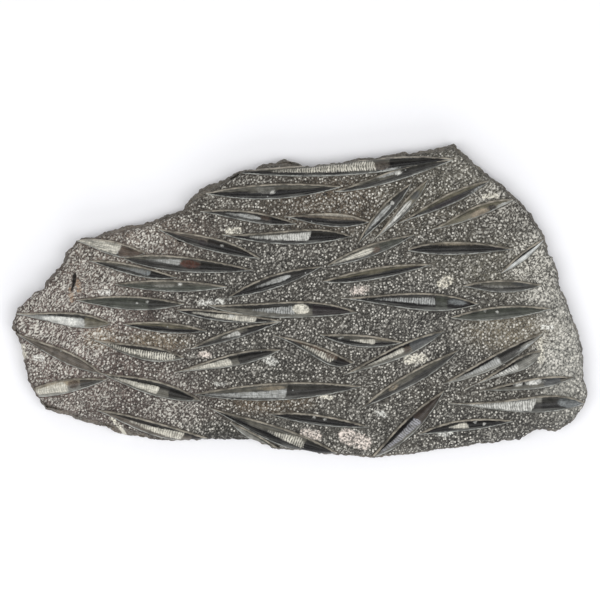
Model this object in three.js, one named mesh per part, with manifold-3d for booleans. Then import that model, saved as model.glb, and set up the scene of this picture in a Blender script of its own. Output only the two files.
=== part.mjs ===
import * as THREE from "three";
import { mergeVertices } from "three/addons/utils/BufferGeometryUtils.js";
import Module from "manifold-3d";

// A slab of dark limestone with straight-shelled fossils standing in low relief on its upper face.
// The ground between the fossils is chiselled down, and the slab's sides are broken in ledges.
// Sizes are millimetres. +Z is up, and the flat underside lies on Z = 0 with its middle at the origin.

// Overall sizes
const SLAB_LENGTH = 578.6;
const SLAB_WIDTH = 316;
const GROUND_HEIGHT = 29;
const GROUND_WAVE = 0.9;
const SHOULDER_DROP = 2.4;
const SHOULDER_REACH = 20;

// Plan positions below are measured from a datum corner: X to the right, Y down.
// The middle of the slab's box lies here.
const DATUM_X = 299.3;
const DATUM_Y = 300.8;

// Relief of a fossil: its rim stands over the ground, and its crest over the rim. Towards the tips
// the relief fades from where the spindle is narrower than FULL_RELIEF_AT of its full width.
const RIM_HEIGHT = 1.5;
const CREST_PER_HALF_WIDTH = 0.42;
const CREST_MOST = 3.6;
const ARCH_POWER = 0.7;
const FULL_RELIEF_AT = 0.38;
const TIP_SINK = 1.2;
const TIP_HALF_WIDTH = 0.15;
const BURIED_DEPTH = 5;
const BLUNTNESS = 0.85;
const ALONG_SEGMENTS = 8;
const ACROSS_SEGMENTS = 4;

// Height of each ring of the broken side, how far it stays in from the outline, how much of the
// ledge's width it takes, how uneven that is, how much its height varies, and its own pattern.
// The last ring is over the face and follows the one below it, so that nothing overhangs there.
const WALL_RINGS = [
  { height: 0, inset: 2.0, ledge: 0, rough: 3.2, stagger: 0, pattern: 1 },
  { height: 6, inset: 0.6, ledge: 0, rough: 2.4, stagger: 3, pattern: 2 },
  { height: 14.5, inset: 0, ledge: 0, rough: 0, stagger: 4, pattern: 3 },
  { height: 21.5, inset: 0.2, ledge: 0.25, rough: 1.8, stagger: 3.5, pattern: 4 },
  { height: 26.5, inset: 0.2, ledge: 1, rough: 0.8, stagger: 1.6, pattern: 5 },
  { height: 44, inset: 1.2, ledge: 1, rough: 0.8, stagger: 0, pattern: 5 },
];

// Cells of the ground's gentle waves
const GROUND_CELLS_LONG = 22;
const GROUND_CELLS_WIDE = 12;
const GROUND_MARGIN = 12;
const BELOW_BASE = 10;

// The broken outline, clockwise from the left end: X, Y, and the width of the sloping ledge
// between the side and the face there.
const OUTLINE = [
  [26, 379, 4], [23, 363, 3], [20, 350, 3], [18, 341, 2.5], [14, 333, 2], [10, 327, 2],
  [11, 322, 2], [13.5, 316, 1.5], [16, 307, 1.5], [21, 304.5, 1.5], [30, 295, 2], [35, 290.5, 2.5],
  [42, 289, 3], [44.5, 280, 3], [52, 273, 3], [62, 262, 3], [65.5, 250, 3], [74, 244, 2.5],
  [75, 240, 2], [80, 237.5, 2], [95.5, 236, 2], [100, 232.5, 3], [121, 226, 5], [131, 224.2, 5],
  [140, 224, 5], [153, 219.5, 5], [165, 214, 4.5], [169, 214.2, 4], [182.5, 208, 4], [188, 200, 4],
  [199, 189, 5], [206, 184.5, 6], [225, 178, 5], [235, 172, 3], [245, 169, 2], [255, 167.5, 2],
  [262, 163, 4], [274, 161.5, 5.5], [285, 157.8, 8], [291, 159.5, 7], [305, 165.2, 2],
  [314, 165.5, 1.5], [319, 163.5, 2], [328, 163, 2.5], [351, 159.5, 4.5], [359, 157, 5.5],
  [376, 157.2, 5], [385, 154.5, 5.5], [403, 150.5, 6], [410, 152, 5], [417, 150.5, 5],
  [440, 147, 5], [449.6, 143.9, 6], [454.7, 142.8, 6], [457.3, 143.3, 5.5], [459.4, 147.2, 5],
  [470.2, 157, 6], [483.6, 168.9, 6], [496, 179.2, 5], [502.2, 182.3, 4], [510.4, 191.6, 3.5],
  [520.7, 200.3, 3.5], [533.1, 213.7, 3.5], [536.5, 221, 3], [544.5, 233.3, 3], [548.6, 245.5, 3],
  [550.1, 253.2, 3], [554.3, 256.8, 3.5], [558.9, 271.2, 4], [561, 284.7, 4.5], [568.7, 300.1, 6],
  [573.9, 317.7, 7], [579.5, 329.5, 7], [584.4, 348.9, 6], [585.4, 359.2, 5], [584.7, 377.7, 3],
  [588.6, 392, 3], [587, 402, 3], [584, 410, 4], [579, 415, 4], [577, 420, 4], [567.2, 426.7, 4],
  [557.9, 432.7, 4], [544.5, 430.8, 3], [533.1, 431.7, 3], [520.7, 440.6, 3.5], [506.3, 441.2, 3],
  [496, 444, 3], [481.6, 444.5, 2.5], [460.9, 448.6, 2.5], [440.3, 450.6, 2.5], [411, 455.2, 2],
  [388, 457.2, 2], [375, 458.8, 2.5], [355, 457, 2], [335, 456.5, 2], [318, 454, 2], [300, 451.2, 2],
  [273, 449.5, 1.5], [265, 446, 1.5], [253, 440.5, 1.5], [225, 440, 1.5], [185, 441.5, 2],
  [158, 441.2, 3], [145, 439, 5], [114, 433.5, 8], [111, 430.5, 8], [105, 428.5, 8],
  [95, 425.5, 9], [77, 421, 10], [65, 415.8, 9], [54, 413.2, 10], [44, 410, 9], [36, 398.5, 6],
];

// The fossils, each a slim spindle between two tips. In a row: the X and Y of the pointed end,
// the X and Y of the mouth's end, the bulge of the upper side and where along the spindle it is
// widest (0 to 1), and the same for the lower side.
const FOSSILS = [
  [240, 170, 452, 159, 5.0, 0.75, 10.5, 0.5],
  [335, 191, 453, 160, 5.6, 0.65, 5.8, 0.4],
  [206, 193.5, 341, 186.7, 6.0, 0.48, 8.8, 0.5],
  [200, 211.5, 297, 223.8, 6.2, 0.5, 4.3, 0.65],
  [284, 216.5, 369, 222, 6.5, 0.6, 7.0, 0.6],
  [222, 234.5, 351, 236.3, 6.4, 0.72, 8.8, 0.52],
  [159, 229, 260, 258.5, 6.8, 0.6, 6.4, 0.45],
  [73, 240, 145, 253, 5.8, 0.5, 8.4, 0.66],
  [124, 258, 253, 270.2, 6.8, 0.42, 8.2, 0.42],
  [94, 262, 177, 277.5, 4.4, 0.45, 5.9, 0.6],
  [115, 284.5, 227, 287, 5.4, 0.48, 5.8, 0.52],
  [80, 300.5, 184, 304, 5.9, 0.5, 7.6, 0.55],
  [16, 313.5, 111, 323.8, 6.9, 0.68, 7.1, 0.7],
  [18, 335, 102, 374, 5.8, 0.62, 5.6, 0.6],
  [30, 393, 107, 379.5, 7.3, 0.45, 6.6, 0.4],
  [108, 374.5, 201, 400.8, 7.3, 0.58, 7.3, 0.57],
  [91, 339, 184, 358, 4.8, 0.7, 9.7, 0.6],
  [123, 324.3, 207, 331, 5.2, 0.5, 5.1, 0.52],
  [191, 348.5, 281, 321.5, 5.6, 0.5, 3.2, 0.45],
  [174, 372.5, 280, 350, 6.0, 0.62, 6.1, 0.62],
  [194, 394, 361, 386.6, 7.2, 0.52, 9.8, 0.5],
  [208, 407.5, 337, 453, 5.3, 0.6, 11.5, 0.62],
  [230, 422, 281, 450.5, 2.0, 0.5, 5.0, 0.5],
  [269, 414, 369, 427, 5.3, 0.45, 4.5, 0.5],
  [273, 335.5, 353, 363, 4.4, 0.5, 9.2, 0.75],
  [320, 334.8, 402, 342.5, 3.6, 0.55, 8.1, 0.5],
  [343, 375.5, 444, 330.8, 4.9, 0.6, 7.3, 0.6],
  [362, 408.5, 459, 350, 6.0, 0.45, 6.2, 0.6],
  [371.5, 457.5, 444, 391, 4.6, 0.57, 10.2, 0.45],
  [419, 434.5, 513, 421, 8.0, 0.45, 2.8, 0.6],
  [449, 403.5, 585, 403.3, 7.8, 0.76, 8.9, 0.62],
  [481, 390.6, 574, 377.5, 4.7, 0.62, 5.7, 0.6],
  [465, 389.5, 541, 351, 4.4, 0.75, 8.4, 0.75],
  [443, 384, 543, 333, 3.1, 0.6, 9.4, 0.52],
  [451, 317.5, 551, 309, 6.7, 0.5, 6.0, 0.45],
  [463, 286, 541, 285.3, 5.4, 0.5, 6.7, 0.55],
  [408, 250, 513, 249, 7.6, 0.42, 5.0, 0.42],
  [501.5, 273, 545, 238.5, 3.2, 0.5, 4.0, 0.5],
  [432, 229.5, 513.5, 199.8, 7.1, 0.62, 3.8, 0.5],
  [399, 223, 489, 181.3, 5.9, 0.6, 5.0, 0.6],
  [358, 243.5, 411, 183.6, 6.8, 0.5, 4.2, 0.6],
  [375, 238.5, 428.5, 179.5, 3.5, 0.65, 6.0, 0.55],
  [327, 266.3, 414, 234.8, 5.9, 0.45, 5.5, 0.5],
  [323, 281.3, 432, 264.5, 5.5, 0.52, 5.9, 0.42],
  [229, 297, 321, 266.8, 7.2, 0.48, 5.8, 0.5],
  [208, 305, 357, 312.5, 8.1, 0.68, 8.9, 0.42],
  [177, 310, 282, 321.3, 3.3, 0.4, 5.0, 0.45],
  [98, 410.8, 207, 438, 3.2, 0.35, 10.5, 0.6],
  [341, 298.3, 478, 304, 8.5, 0.62, 8.5, 0.65],
];

const toSlab = (x, y) => new THREE.Vector2(x - DATUM_X, DATUM_Y - y);

const outline = OUTLINE.map(([x, y]) => toSlab(x, y));
const ledgeWidths = OUTLINE.map(([, , width]) => width);

// Shortest distance from a plan point to the outline
function distanceToOutline(x, y) {
  let nearest = Infinity;
  outline.forEach((a, i) => {
    const b = outline[(i + 1) % outline.length];
    const run = b.x - a.x;
    const rise = b.y - a.y;
    const along = ((x - a.x) * run + (y - a.y) * rise) / (run * run + rise * rise);
    const t = THREE.MathUtils.clamp(along, 0, 1);
    nearest = Math.min(nearest, Math.hypot(x - a.x - t * run, y - a.y - t * rise));
  });
  return nearest;
}

// Height of the chiselled ground: gentle waves, and a worn shoulder near the broken edge
function groundHeight(x, y) {
  const broad = Math.sin(x / 47 + 0.6) * Math.cos(y / 38 - 0.4);
  const tight = 0.5 * Math.sin(x / 21 + y / 26 + 1.3);
  const near = 1 - THREE.MathUtils.smoothstep(distanceToOutline(x, y), 0, SHOULDER_REACH);
  return GROUND_HEIGHT + GROUND_WAVE * (broad + tight) - SHOULDER_DROP * near * near;
}

// Unevenness from 0 to 1 that is the same on every run
function unevenness(seed) {
  return 0.5 + 0.5 * Math.sin(seed * 12.9898 + 4.1414 * Math.sin(seed * 2.17));
}

const wasm = await Module();
wasm.setup();

function solidFrom(geometry) {
  geometry.deleteAttribute("normal");
  geometry.deleteAttribute("uv");
  const merged = mergeVertices(geometry, 1e-3);
  return new wasm.Manifold(
    new wasm.Mesh({
      numProp: 3,
      vertProperties: merged.attributes.position.array,
      triVerts: new Uint32Array(merged.index.array),
    }),
  );
}

// The broken side: the outline extruded in rings, each drawn in by its own inset and roughness
function sideSolid() {
  const steps = WALL_RINGS.length - 1;
  const geometry = new THREE.ExtrudeGeometry(new THREE.Shape(outline), {
    depth: steps,
    steps,
    bevelEnabled: false,
  });
  const key = (x, y) => x.toFixed(2) + " " + y.toFixed(2);
  const indexAt = new Map(outline.map((p, i) => [key(p.x, p.y), i]));
  const inward = outline.map((p, i) => {
    const before = outline[(i + outline.length - 1) % outline.length];
    const after = outline[(i + 1) % outline.length];
    return new THREE.Vector2(after.y - before.y, before.x - after.x).normalize();
  });
  const position = geometry.attributes.position;
  for (let v = 0; v < position.count; v++) {
    const i = indexAt.get(key(position.getX(v), position.getY(v)));
    const ring = WALL_RINGS[Math.round(position.getZ(v))];
    const rough = ring.rough * unevenness(i + 31 * ring.pattern);
    const inset = ring.inset + ring.ledge * ledgeWidths[i] + rough;
    const p = outline[i].clone().addScaledVector(inward[i], inset);
    const lift = ring.stagger * (unevenness(2 * i + 17 * ring.pattern) - 0.5);
    position.setXYZ(v, p.x, p.y, ring.height + lift);
  }
  return solidFrom(geometry);
}

// The ground: a wide block whose top follows groundHeight
function groundSolid() {
  const length = SLAB_LENGTH + 2 * GROUND_MARGIN;
  const width = SLAB_WIDTH + 2 * GROUND_MARGIN;
  const geometry = new THREE.BoxGeometry(length, width, 2, GROUND_CELLS_LONG, GROUND_CELLS_WIDE, 1);
  const position = geometry.attributes.position;
  for (let v = 0; v < position.count; v++) {
    const top = position.getZ(v) > 0;
    position.setZ(v, top ? groundHeight(position.getX(v), position.getY(v)) : -BELOW_BASE);
  }
  return solidFrom(geometry);
}

// Width of one side of a spindle at t, from 0 at the pointed end to 1 at the mouth's end
function sideBulge(t, bulge, widestAt) {
  const skew = Math.log(0.5) / Math.log(widestAt);
  return bulge * Math.pow(Math.sin(Math.PI * Math.pow(t, skew)), BLUNTNESS);
}

// One fossil: a low arched spindle, sunk in the ground at both tips
function fossilSolid([tailX, tailY, mouthX, mouthY, upper, upperAt, lower, lowerAt]) {
  const tail = toSlab(tailX, tailY);
  const mouth = toSlab(mouthX, mouthY);
  const chord = mouth.clone().sub(tail);
  const left = new THREE.Vector2(-chord.y, chord.x).normalize();
  const fullHalfWidth = (upper + lower) / 2;
  const crest = Math.min(CREST_MOST, CREST_PER_HALF_WIDTH * fullHalfWidth);
  const geometry = new THREE.BoxGeometry(1, 2, 2, ALONG_SEGMENTS, ACROSS_SEGMENTS, 1);
  const position = geometry.attributes.position;
  for (let v = 0; v < position.count; v++) {
    const t = 0.5 - 0.5 * Math.cos(Math.PI * (position.getX(v) + 0.5));
    const across = position.getY(v);
    const up = sideBulge(t, upper, upperAt);
    const down = sideBulge(t, lower, lowerAt);
    const middle = (up - down) / 2;
    const half = Math.max((up + down) / 2, TIP_HALF_WIDTH);
    const p = tail.clone().addScaledVector(chord, t).addScaledVector(left, middle + across * half);
    const fullness = Math.min(1, half / (FULL_RELIEF_AT * fullHalfWidth));
    const arch = Math.pow(1 - across * across, ARCH_POWER);
    const relief = (RIM_HEIGHT + crest * arch) * fullness - TIP_SINK * (1 - fullness);
    const ground = groundHeight(p.x, p.y);
    const top = position.getZ(v) > 0;
    position.setXYZ(v, p.x, p.y, top ? ground + relief : ground - BURIED_DEPTH);
  }
  return solidFrom(geometry);
}

const face = FOSSILS.map(fossilSolid).reduce((all, one) => all.add(one), groundSolid());
const slab = face.intersect(sideSolid());

const mesh = slab.getMesh();
const geometry = new THREE.BufferGeometry();
geometry.setAttribute("position", new THREE.BufferAttribute(mesh.vertProperties, 3));
geometry.setIndex(new THREE.BufferAttribute(mesh.triVerts, 1));

const limestone = new THREE.MeshStandardMaterial({
  color: 0x6f6c67,
  roughness: 0.75,
  metalness: 0,
  flatShading: true,
});

const fossilSlab = new THREE.Mesh(geometry, limestone);
fossilSlab.name = "fossil_slab";

const part = new THREE.Group();
part.add(fossilSlab);

export default part;
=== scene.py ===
"""The looks of a slab of dark limestone with polished straight-shelled fossils in low relief."""

import math
import random

import bmesh
import bpy
import numpy as np
from bpy.props import FloatProperty, FloatVectorProperty, PointerProperty
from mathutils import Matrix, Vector, kdtree, noise


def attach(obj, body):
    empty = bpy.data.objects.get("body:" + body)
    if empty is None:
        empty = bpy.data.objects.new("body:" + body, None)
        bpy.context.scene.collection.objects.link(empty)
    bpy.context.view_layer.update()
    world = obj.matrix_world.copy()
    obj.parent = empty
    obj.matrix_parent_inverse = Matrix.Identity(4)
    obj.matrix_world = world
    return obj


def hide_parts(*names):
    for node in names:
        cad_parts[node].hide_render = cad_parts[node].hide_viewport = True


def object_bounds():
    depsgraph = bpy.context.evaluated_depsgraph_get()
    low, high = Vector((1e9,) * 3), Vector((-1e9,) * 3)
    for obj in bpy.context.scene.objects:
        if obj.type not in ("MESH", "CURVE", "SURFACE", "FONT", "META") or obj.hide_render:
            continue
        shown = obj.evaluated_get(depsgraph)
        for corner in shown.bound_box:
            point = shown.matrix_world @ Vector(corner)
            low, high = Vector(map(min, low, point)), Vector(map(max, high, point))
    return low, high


bl_info = {
    "name": "Fossil limestone slab",
    "version": (1, 0, 0),
    "blender": (4, 5, 0),
    "location": "View3D > Sidebar > Fossil slab",
    "description": "Models the chiselled stone, its polished fossils and a plain stage",
    "category": "Add Mesh",
}

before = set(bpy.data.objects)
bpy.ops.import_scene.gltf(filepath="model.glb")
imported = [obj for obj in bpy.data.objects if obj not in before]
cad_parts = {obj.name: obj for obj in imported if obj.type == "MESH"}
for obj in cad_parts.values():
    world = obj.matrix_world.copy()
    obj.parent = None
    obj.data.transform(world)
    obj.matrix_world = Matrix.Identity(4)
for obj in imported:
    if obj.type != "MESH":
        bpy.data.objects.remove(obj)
cad_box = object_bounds()

NODE = "fossil_slab"
MM = 0.001

# Plan positions are in millimetres from a datum corner, X to the right and Y down.
# The middle of the slab's box lies at this place.
DATUM = np.array((299.3, 300.8))

# The ground's gentle waves and its worn shoulder, in millimetres
GROUND_HEIGHT = 29.0
GROUND_WAVE = 0.9
SHOULDER_DROP = 2.4
SHOULDER_REACH = 20.0

# Relief of a fossil over the ground, in millimetres
RIM_HEIGHT = 1.5
CREST_PER_HALF_WIDTH = 0.42
CREST_MOST = 3.6
ARCH_POWER = 0.7
FULL_RELIEF_AT = 0.38
TIP_RISE = 0.35
TIP_HALF_WIDTH = 0.4
BURIED_DEPTH = 5.0
BLUNTNESS = 0.85

# Rings of the broken side from the base up: height, inset, share of the ledge's width,
# unevenness, variation of the height, and the number of its own pattern
WALL_RINGS = (
    (0.0, 2.0, 0.0, 3.2, 0.0, 1),
    (6.0, 0.6, 0.0, 2.4, 3.0, 2),
    (14.5, 0.0, 0.0, 0.0, 4.0, 3),
    (21.5, 0.2, 0.25, 1.8, 3.5, 4),
    (26.5, 0.2, 1.0, 0.8, 1.6, 5),
    (44.0, 1.2, 1.0, 0.8, 0.0, 5),
)
# Level of the face's edge among the rings
FACE_LEVEL = 3.12

# How much brighter the stage's light is than a white of 1
LIGHT_ON_STONE = 1.08

# The broken outline, clockwise from the left end: X, Y, and the ledge's width there
OUTLINE = (
    (26, 379, 4), (23, 363, 3), (20, 350, 3), (18, 341, 2.5), (14, 333, 2), (10, 327, 2), (11, 322, 2),
    (13.5, 316, 1.5), (16, 307, 1.5), (21, 304.5, 1.5), (30, 295, 2), (35, 290.5, 2.5), (42, 289, 3),
    (44.5, 280, 3), (52, 273, 3), (62, 262, 3), (65.5, 250, 3), (74, 244, 2.5), (75, 240, 2),
    (80, 237.5, 2), (95.5, 236, 2), (100, 232.5, 3), (121, 226, 5), (131, 224.2, 5), (140, 224, 5),
    (153, 219.5, 5), (165, 214, 4.5), (169, 214.2, 4), (182.5, 208, 4), (188, 200, 4), (199, 189, 5),
    (206, 184.5, 6), (225, 178, 5), (235, 172, 3), (245, 169, 2), (255, 167.5, 2), (262, 163, 4),
    (274, 161.5, 5.5), (285, 157.8, 8), (291, 159.5, 7), (305, 165.2, 2), (314, 165.5, 1.5),
    (319, 163.5, 2), (328, 163, 2.5), (351, 159.5, 4.5), (359, 157, 5.5), (376, 157.2, 5),
    (385, 154.5, 5.5), (403, 150.5, 6), (410, 152, 5), (417, 150.5, 5), (440, 147, 5),
    (449.6, 143.9, 6), (454.7, 142.8, 6), (457.3, 143.3, 5.5), (459.4, 147.2, 5), (470.2, 157, 6),
    (483.6, 168.9, 6), (496, 179.2, 5), (502.2, 182.3, 4), (510.4, 191.6, 3.5), (520.7, 200.3, 3.5),
    (533.1, 213.7, 3.5), (536.5, 221, 3), (544.5, 233.3, 3), (548.6, 245.5, 3), (550.1, 253.2, 3),
    (554.3, 256.8, 3.5), (558.9, 271.2, 4), (561, 284.7, 4.5), (568.7, 300.1, 6), (573.9, 317.7, 7),
    (579.5, 329.5, 7), (584.4, 348.9, 6), (585.4, 359.2, 5), (584.7, 377.7, 3), (588.6, 392, 3),
    (587, 402, 3), (584, 410, 4), (579, 415, 4), (577, 420, 4), (567.2, 426.7, 4), (557.9, 432.7, 4),
    (544.5, 430.8, 3), (533.1, 431.7, 3), (520.7, 440.6, 3.5), (506.3, 441.2, 3), (496, 444, 3),
    (481.6, 444.5, 2.5), (460.9, 448.6, 2.5), (440.3, 450.6, 2.5), (411, 455.2, 2), (388, 457.2, 2),
    (375, 458.8, 2.5), (355, 457, 2), (335, 456.5, 2), (318, 454, 2), (300, 451.2, 2),
    (273, 449.5, 1.5), (265, 446, 1.5), (253, 440.5, 1.5), (225, 440, 1.5), (185, 441.5, 2),
    (158, 441.2, 3), (145, 439, 5), (114, 433.5, 8), (111, 430.5, 8), (105, 428.5, 8), (95, 425.5, 9),
    (77, 421, 10), (65, 415.8, 9), (54, 413.2, 10), (44, 410, 9), (36, 398.5, 6),
)


def srgb(red, green, blue):
    """Turns a tone seen under the stage's light, 0 to 255, to the shaders' linear values."""
    parts = (channel / 255 for channel in (red, green, blue))
    linear = (c / 12.92 if c < 0.04045 else ((c + 0.055) / 1.055) ** 2.4 for c in parts)
    return tuple(c / LIGHT_ON_STONE for c in linear)


# Stone tones inside the fossils and on the ground. Some are painted light: the pale blue-grey
# sheen tone is a painted reflection of the polish, the gloss tone a painted sheen on the flanks,
# and the near-black pit tone painted shade inside the holes and the crack.
TONES = {
    "black": srgb(13, 12, 12), "dark": srgb(40, 39, 37), "grey": srgb(86, 84, 77),
    "light": srgb(118, 117, 111), "olive": srgb(92, 88, 75), "greygreen": srgb(60, 62, 56),
    "bluegrey": srgb(72, 74, 75), "painted_sheen": srgb(122, 126, 127), "brown": srgb(80, 68, 58),
    "chamber_brown": srgb(78, 67, 59), "rust": srgb(78, 46, 36), "brown_grey": srgb(88, 82, 75),
    "dark_brown": srgb(48, 40, 35), "tan": srgb(142, 130, 113),
    "violet": srgb(32, 27, 30), "beige": srgb(142, 132, 115), "cream": srgb(230, 226, 212),
    "white": srgb(224, 224, 218), "silver": srgb(184, 186, 184), "lavender": srgb(168, 168, 174),
    "pink": srgb(224, 213, 204), "ochre": srgb(146, 120, 96), "yellow": srgb(226, 221, 206),
    "pit": srgb(26, 25, 24), "painted_flank_sheen": srgb(128, 129, 124),
}

# The fossils. In a row: the pointed end, the mouth's end, the bulge of the upper side and where
# it is widest (0 to 1), the same for the lower side, the tones of the upper and lower flank, then
# the chambered cone: from X, to X, its lower and upper edge (-1 to 1), tone and strength of its
# walls, and last the body chamber: from X, to X and tone. The flank tones are partly the stone's
# colour and partly painted reflection, which on most of them makes the upper flank paler and the
# lower one darker.
FOSSILS = (
    ((226, 171), (452, 159), (5.0, 0.75), (10.5, 0.5), "grey", "black",
     (272, 374, -0.66, 0.85, "cream", 0.9), (389, 440, "black")),
    ((335, 191), (453, 160), (5.6, 0.65), (5.8, 0.4), "grey", "dark", None, (402, 440, "dark")),
    ((206, 193.5), (341, 186.7), (6.0, 0.48), (8.8, 0.5), "grey", "black", None, None),
    ((200, 211.5), (297, 223.8), (6.2, 0.5), (4.3, 0.65), "dark", "dark",
     (226, 260, -0.6, 0.55, "silver", 0.2), (271, 293, "black")),
    ((284, 216.5), (369, 222), (6.5, 0.6), (7.0, 0.6), "brown_grey", "black", None, None),
    ((222, 234.5), (351, 236.3), (6.4, 0.72), (8.8, 0.52), "grey", "black",
     (250, 309, -0.6, 0.65, "white", 0.5), (309, 345, "black")),
    ((159, 229), (260, 258.5), (6.8, 0.6), (6.4, 0.45), "brown_grey", "dark", None, (207, 255, "black")),
    ((73, 240), (145, 253), (5.8, 0.5), (8.4, 0.66), "grey", "dark",
     (52, 119, -0.85, 0.85, "cream", 0.24), (119, 143, "chamber_brown")),
    ((124, 258), (253, 270.2), (6.8, 0.42), (8.2, 0.42), "grey", "dark",
     (146, 180, -0.2, 0.6, "silver", 0.24), (200, 248, "black")),
    ((89, 261), (177, 277.5), (4.4, 0.45), (5.9, 0.6), "grey", "dark",
     (118, 150, -0.6, 0.6, "painted_sheen", 0.3), (150, 173, "black")),
    ((115, 284.5), (227, 287), (5.4, 0.48), (5.8, 0.52), "grey", "greygreen", None, None),
    ((76, 300.3), (184, 304), (5.9, 0.5), (7.6, 0.55), "greygreen", "greygreen", None, (148, 178, "dark")),
    ((5, 312.5), (111, 323.8), (6.9, 0.68), (7.1, 0.7), "dark", "light",
     (10, 84, -0.95, 0.45, "silver", 0.25), (84, 108, "olive")),
    ((12.5, 332), (102, 374), (5.8, 0.62), (5.6, 0.6), "brown_grey", "brown_grey", None, None),
    ((25, 394), (107, 379.5), (7.3, 0.45), (6.6, 0.4), "beige", "light",
     (14, 66, -0.75, 0.8, "cream", 0.45), (80, 103, "dark")),
    ((100, 373), (201, 400.8), (7.3, 0.58), (7.3, 0.57), "dark", "grey",
     (115, 158, -0.75, 0.35, "cream", 0.4), (169, 193, "black")),
    ((91, 339), (184, 358), (4.8, 0.7), (9.7, 0.6), "dark", "grey",
     (106, 174, -0.9, 0.62, "cream", 1.0), None),
    ((123, 324.3), (207, 331), (5.2, 0.5), (5.1, 0.52), "olive", "black", None, None),
    ((191, 348.5), (281, 321.5), (5.6, 0.5), (3.2, 0.45), "grey", "dark",
     (222, 239, -0.6, 0.6, "white", 0.3), (248, 276, "black")),
    ((174, 372.5), (280, 350), (6.0, 0.62), (6.1, 0.62), "dark", "grey",
     (186, 230, -0.8, 0.5, "cream", 0.4), (238, 272, "black")),
    ((194, 394), (361, 386.6), (7.2, 0.52), (9.8, 0.5), "grey", "dark",
     (205, 285, -0.8, 0.25, "silver", 0.24), (287, 345, "dark")),
    ((208, 407.5), (337, 453), (5.3, 0.6), (11.5, 0.62), "grey", "black",
     (268, 303, -0.55, 0.75, "cream", 0.9), (305, 332, "black")),
    ((230, 422), (281, 450.5), (2.0, 0.5), (5.0, 0.5), "greygreen", "light", None, None),
    ((269, 414), (369, 427), (5.3, 0.45), (4.5, 0.5), "dark", "black", None, None),
    ((273, 335.5), (353, 363), (4.4, 0.5), (9.2, 0.75), "brown", "dark",
     (302, 333, -0.75, 0.6, "cream", 0.9), (337, 350, "black")),
    ((320, 334.8), (402, 342.5), (3.6, 0.55), (8.1, 0.5), "grey", "black",
     (350, 374, -0.45, 0.5, "cream", 0.4), None),
    ((343, 375.5), (444, 330.8), (4.9, 0.6), (7.3, 0.6), "black", "grey",
     (367, 403, -0.4, 0.4, "cream", 0.4), (410, 440, "bluegrey")),
    ((362, 408.5), (459, 350), (6.0, 0.45), (6.2, 0.6), "grey", "dark", None, None),
    ((371.5, 457.5), (444, 391), (4.6, 0.57), (10.2, 0.45), "black", "grey",
     (378, 415, -0.8, 0.45, "lavender", 0.8), (414, 440, "dark_brown")),
    ((419, 434.5), (513, 421), (8.0, 0.45), (2.8, 0.6), "dark", "black",
     (449, 467, -0.6, 0.6, "cream", 0.4), (467, 505, "black")),
    ((449, 403.5), (585, 403.3), (7.8, 0.76), (8.9, 0.62), "light", "dark",
     (450, 533, -0.85, 0.8, "white", 0.65), (541, 590, "black")),
    ((481, 390.6), (574, 377.5), (4.7, 0.62), (5.7, 0.6), "black", "grey", None, (543, 560, "bluegrey")),
    ((465, 389.5), (541, 351), (4.4, 0.75), (8.4, 0.75), "black", "light",
     (490, 515, -0.75, 0.3, "white", 0.7), (515, 538, "light")),
    ((443, 384), (543, 333), (3.1, 0.6), (9.4, 0.52), "black", "light",
     (458, 497, -0.75, 0.45, "silver", 0.5), (497, 520, "dark")),
    ((451, 317.5), (551, 309), (6.7, 0.5), (6.0, 0.45), "greygreen", "greygreen", None, None),
    ((463, 286), (541, 285.3), (5.4, 0.5), (6.7, 0.55), "grey", "dark", None, None),
    ((408, 250), (513, 249), (7.6, 0.42), (5.0, 0.42), "dark", "black", None, None),
    # Its silver lower flank is a painted highlight band.
    ((501.5, 273), (545, 238.5), (3.2, 0.5), (4.0, 0.5), "black", "silver", None, None),
    ((432, 229.5), (513.5, 199.8), (7.1, 0.62), (3.8, 0.5), "olive", "olive", None, None),
    ((399, 223), (489, 181.3), (5.9, 0.6), (5.0, 0.6), "olive", "dark", None, None),
    ((358, 243.5), (411, 183.6), (6.8, 0.5), (4.2, 0.6), "grey", "black",
     (366, 391, -0.55, 0.65, "silver", 0.1), (391, 406, "dark")),
    ((375, 238.5), (428.5, 179.5), (3.5, 0.65), (6.0, 0.55), "grey", "dark",
     (378, 410, -0.75, 0.65, "white", 0.15), (406, 425, "olive")),
    ((327, 266.3), (414, 234.8), (5.9, 0.45), (5.5, 0.5), "grey", "dark",
     (333, 375, -0.75, 0.6, "cream", 0.15), (380, 402, "greygreen")),
    ((323, 281.3), (432, 264.5), (5.5, 0.52), (5.9, 0.42), "olive", "black", None, None),
    ((229, 297), (321, 266.8), (7.2, 0.48), (5.8, 0.5), "dark", "black",
     (256, 290, -0.55, 0.6, "silver", 0.12), (290, 315, "dark")),
    ((208, 305), (357, 312.5), (8.1, 0.68), (8.9, 0.42), "dark", "grey",
     (253, 293, -0.6, 0.5, "silver", 0.8), (312, 350, "violet")),
    ((177, 310), (282, 321.3), (3.4, 0.4), (6.2, 0.45), "dark", "black",
     (192, 255, -0.85, 0.8, "cream", 0.4), (255, 278, "black")),
    ((98, 410.8), (207, 438), (3.2, 0.35), (10.5, 0.6), "dark", "brown_grey",
     (131, 183, -0.8, 0.6, "cream", 0.6), (192, 203, "black")),
    ((341, 298.3), (478, 304), (8.5, 0.62), (8.5, 0.65), "dark", "black",
     (375, 434, -0.35, 0.55, "silver", 0.8), (435, 447, "greygreen")),
)
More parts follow.
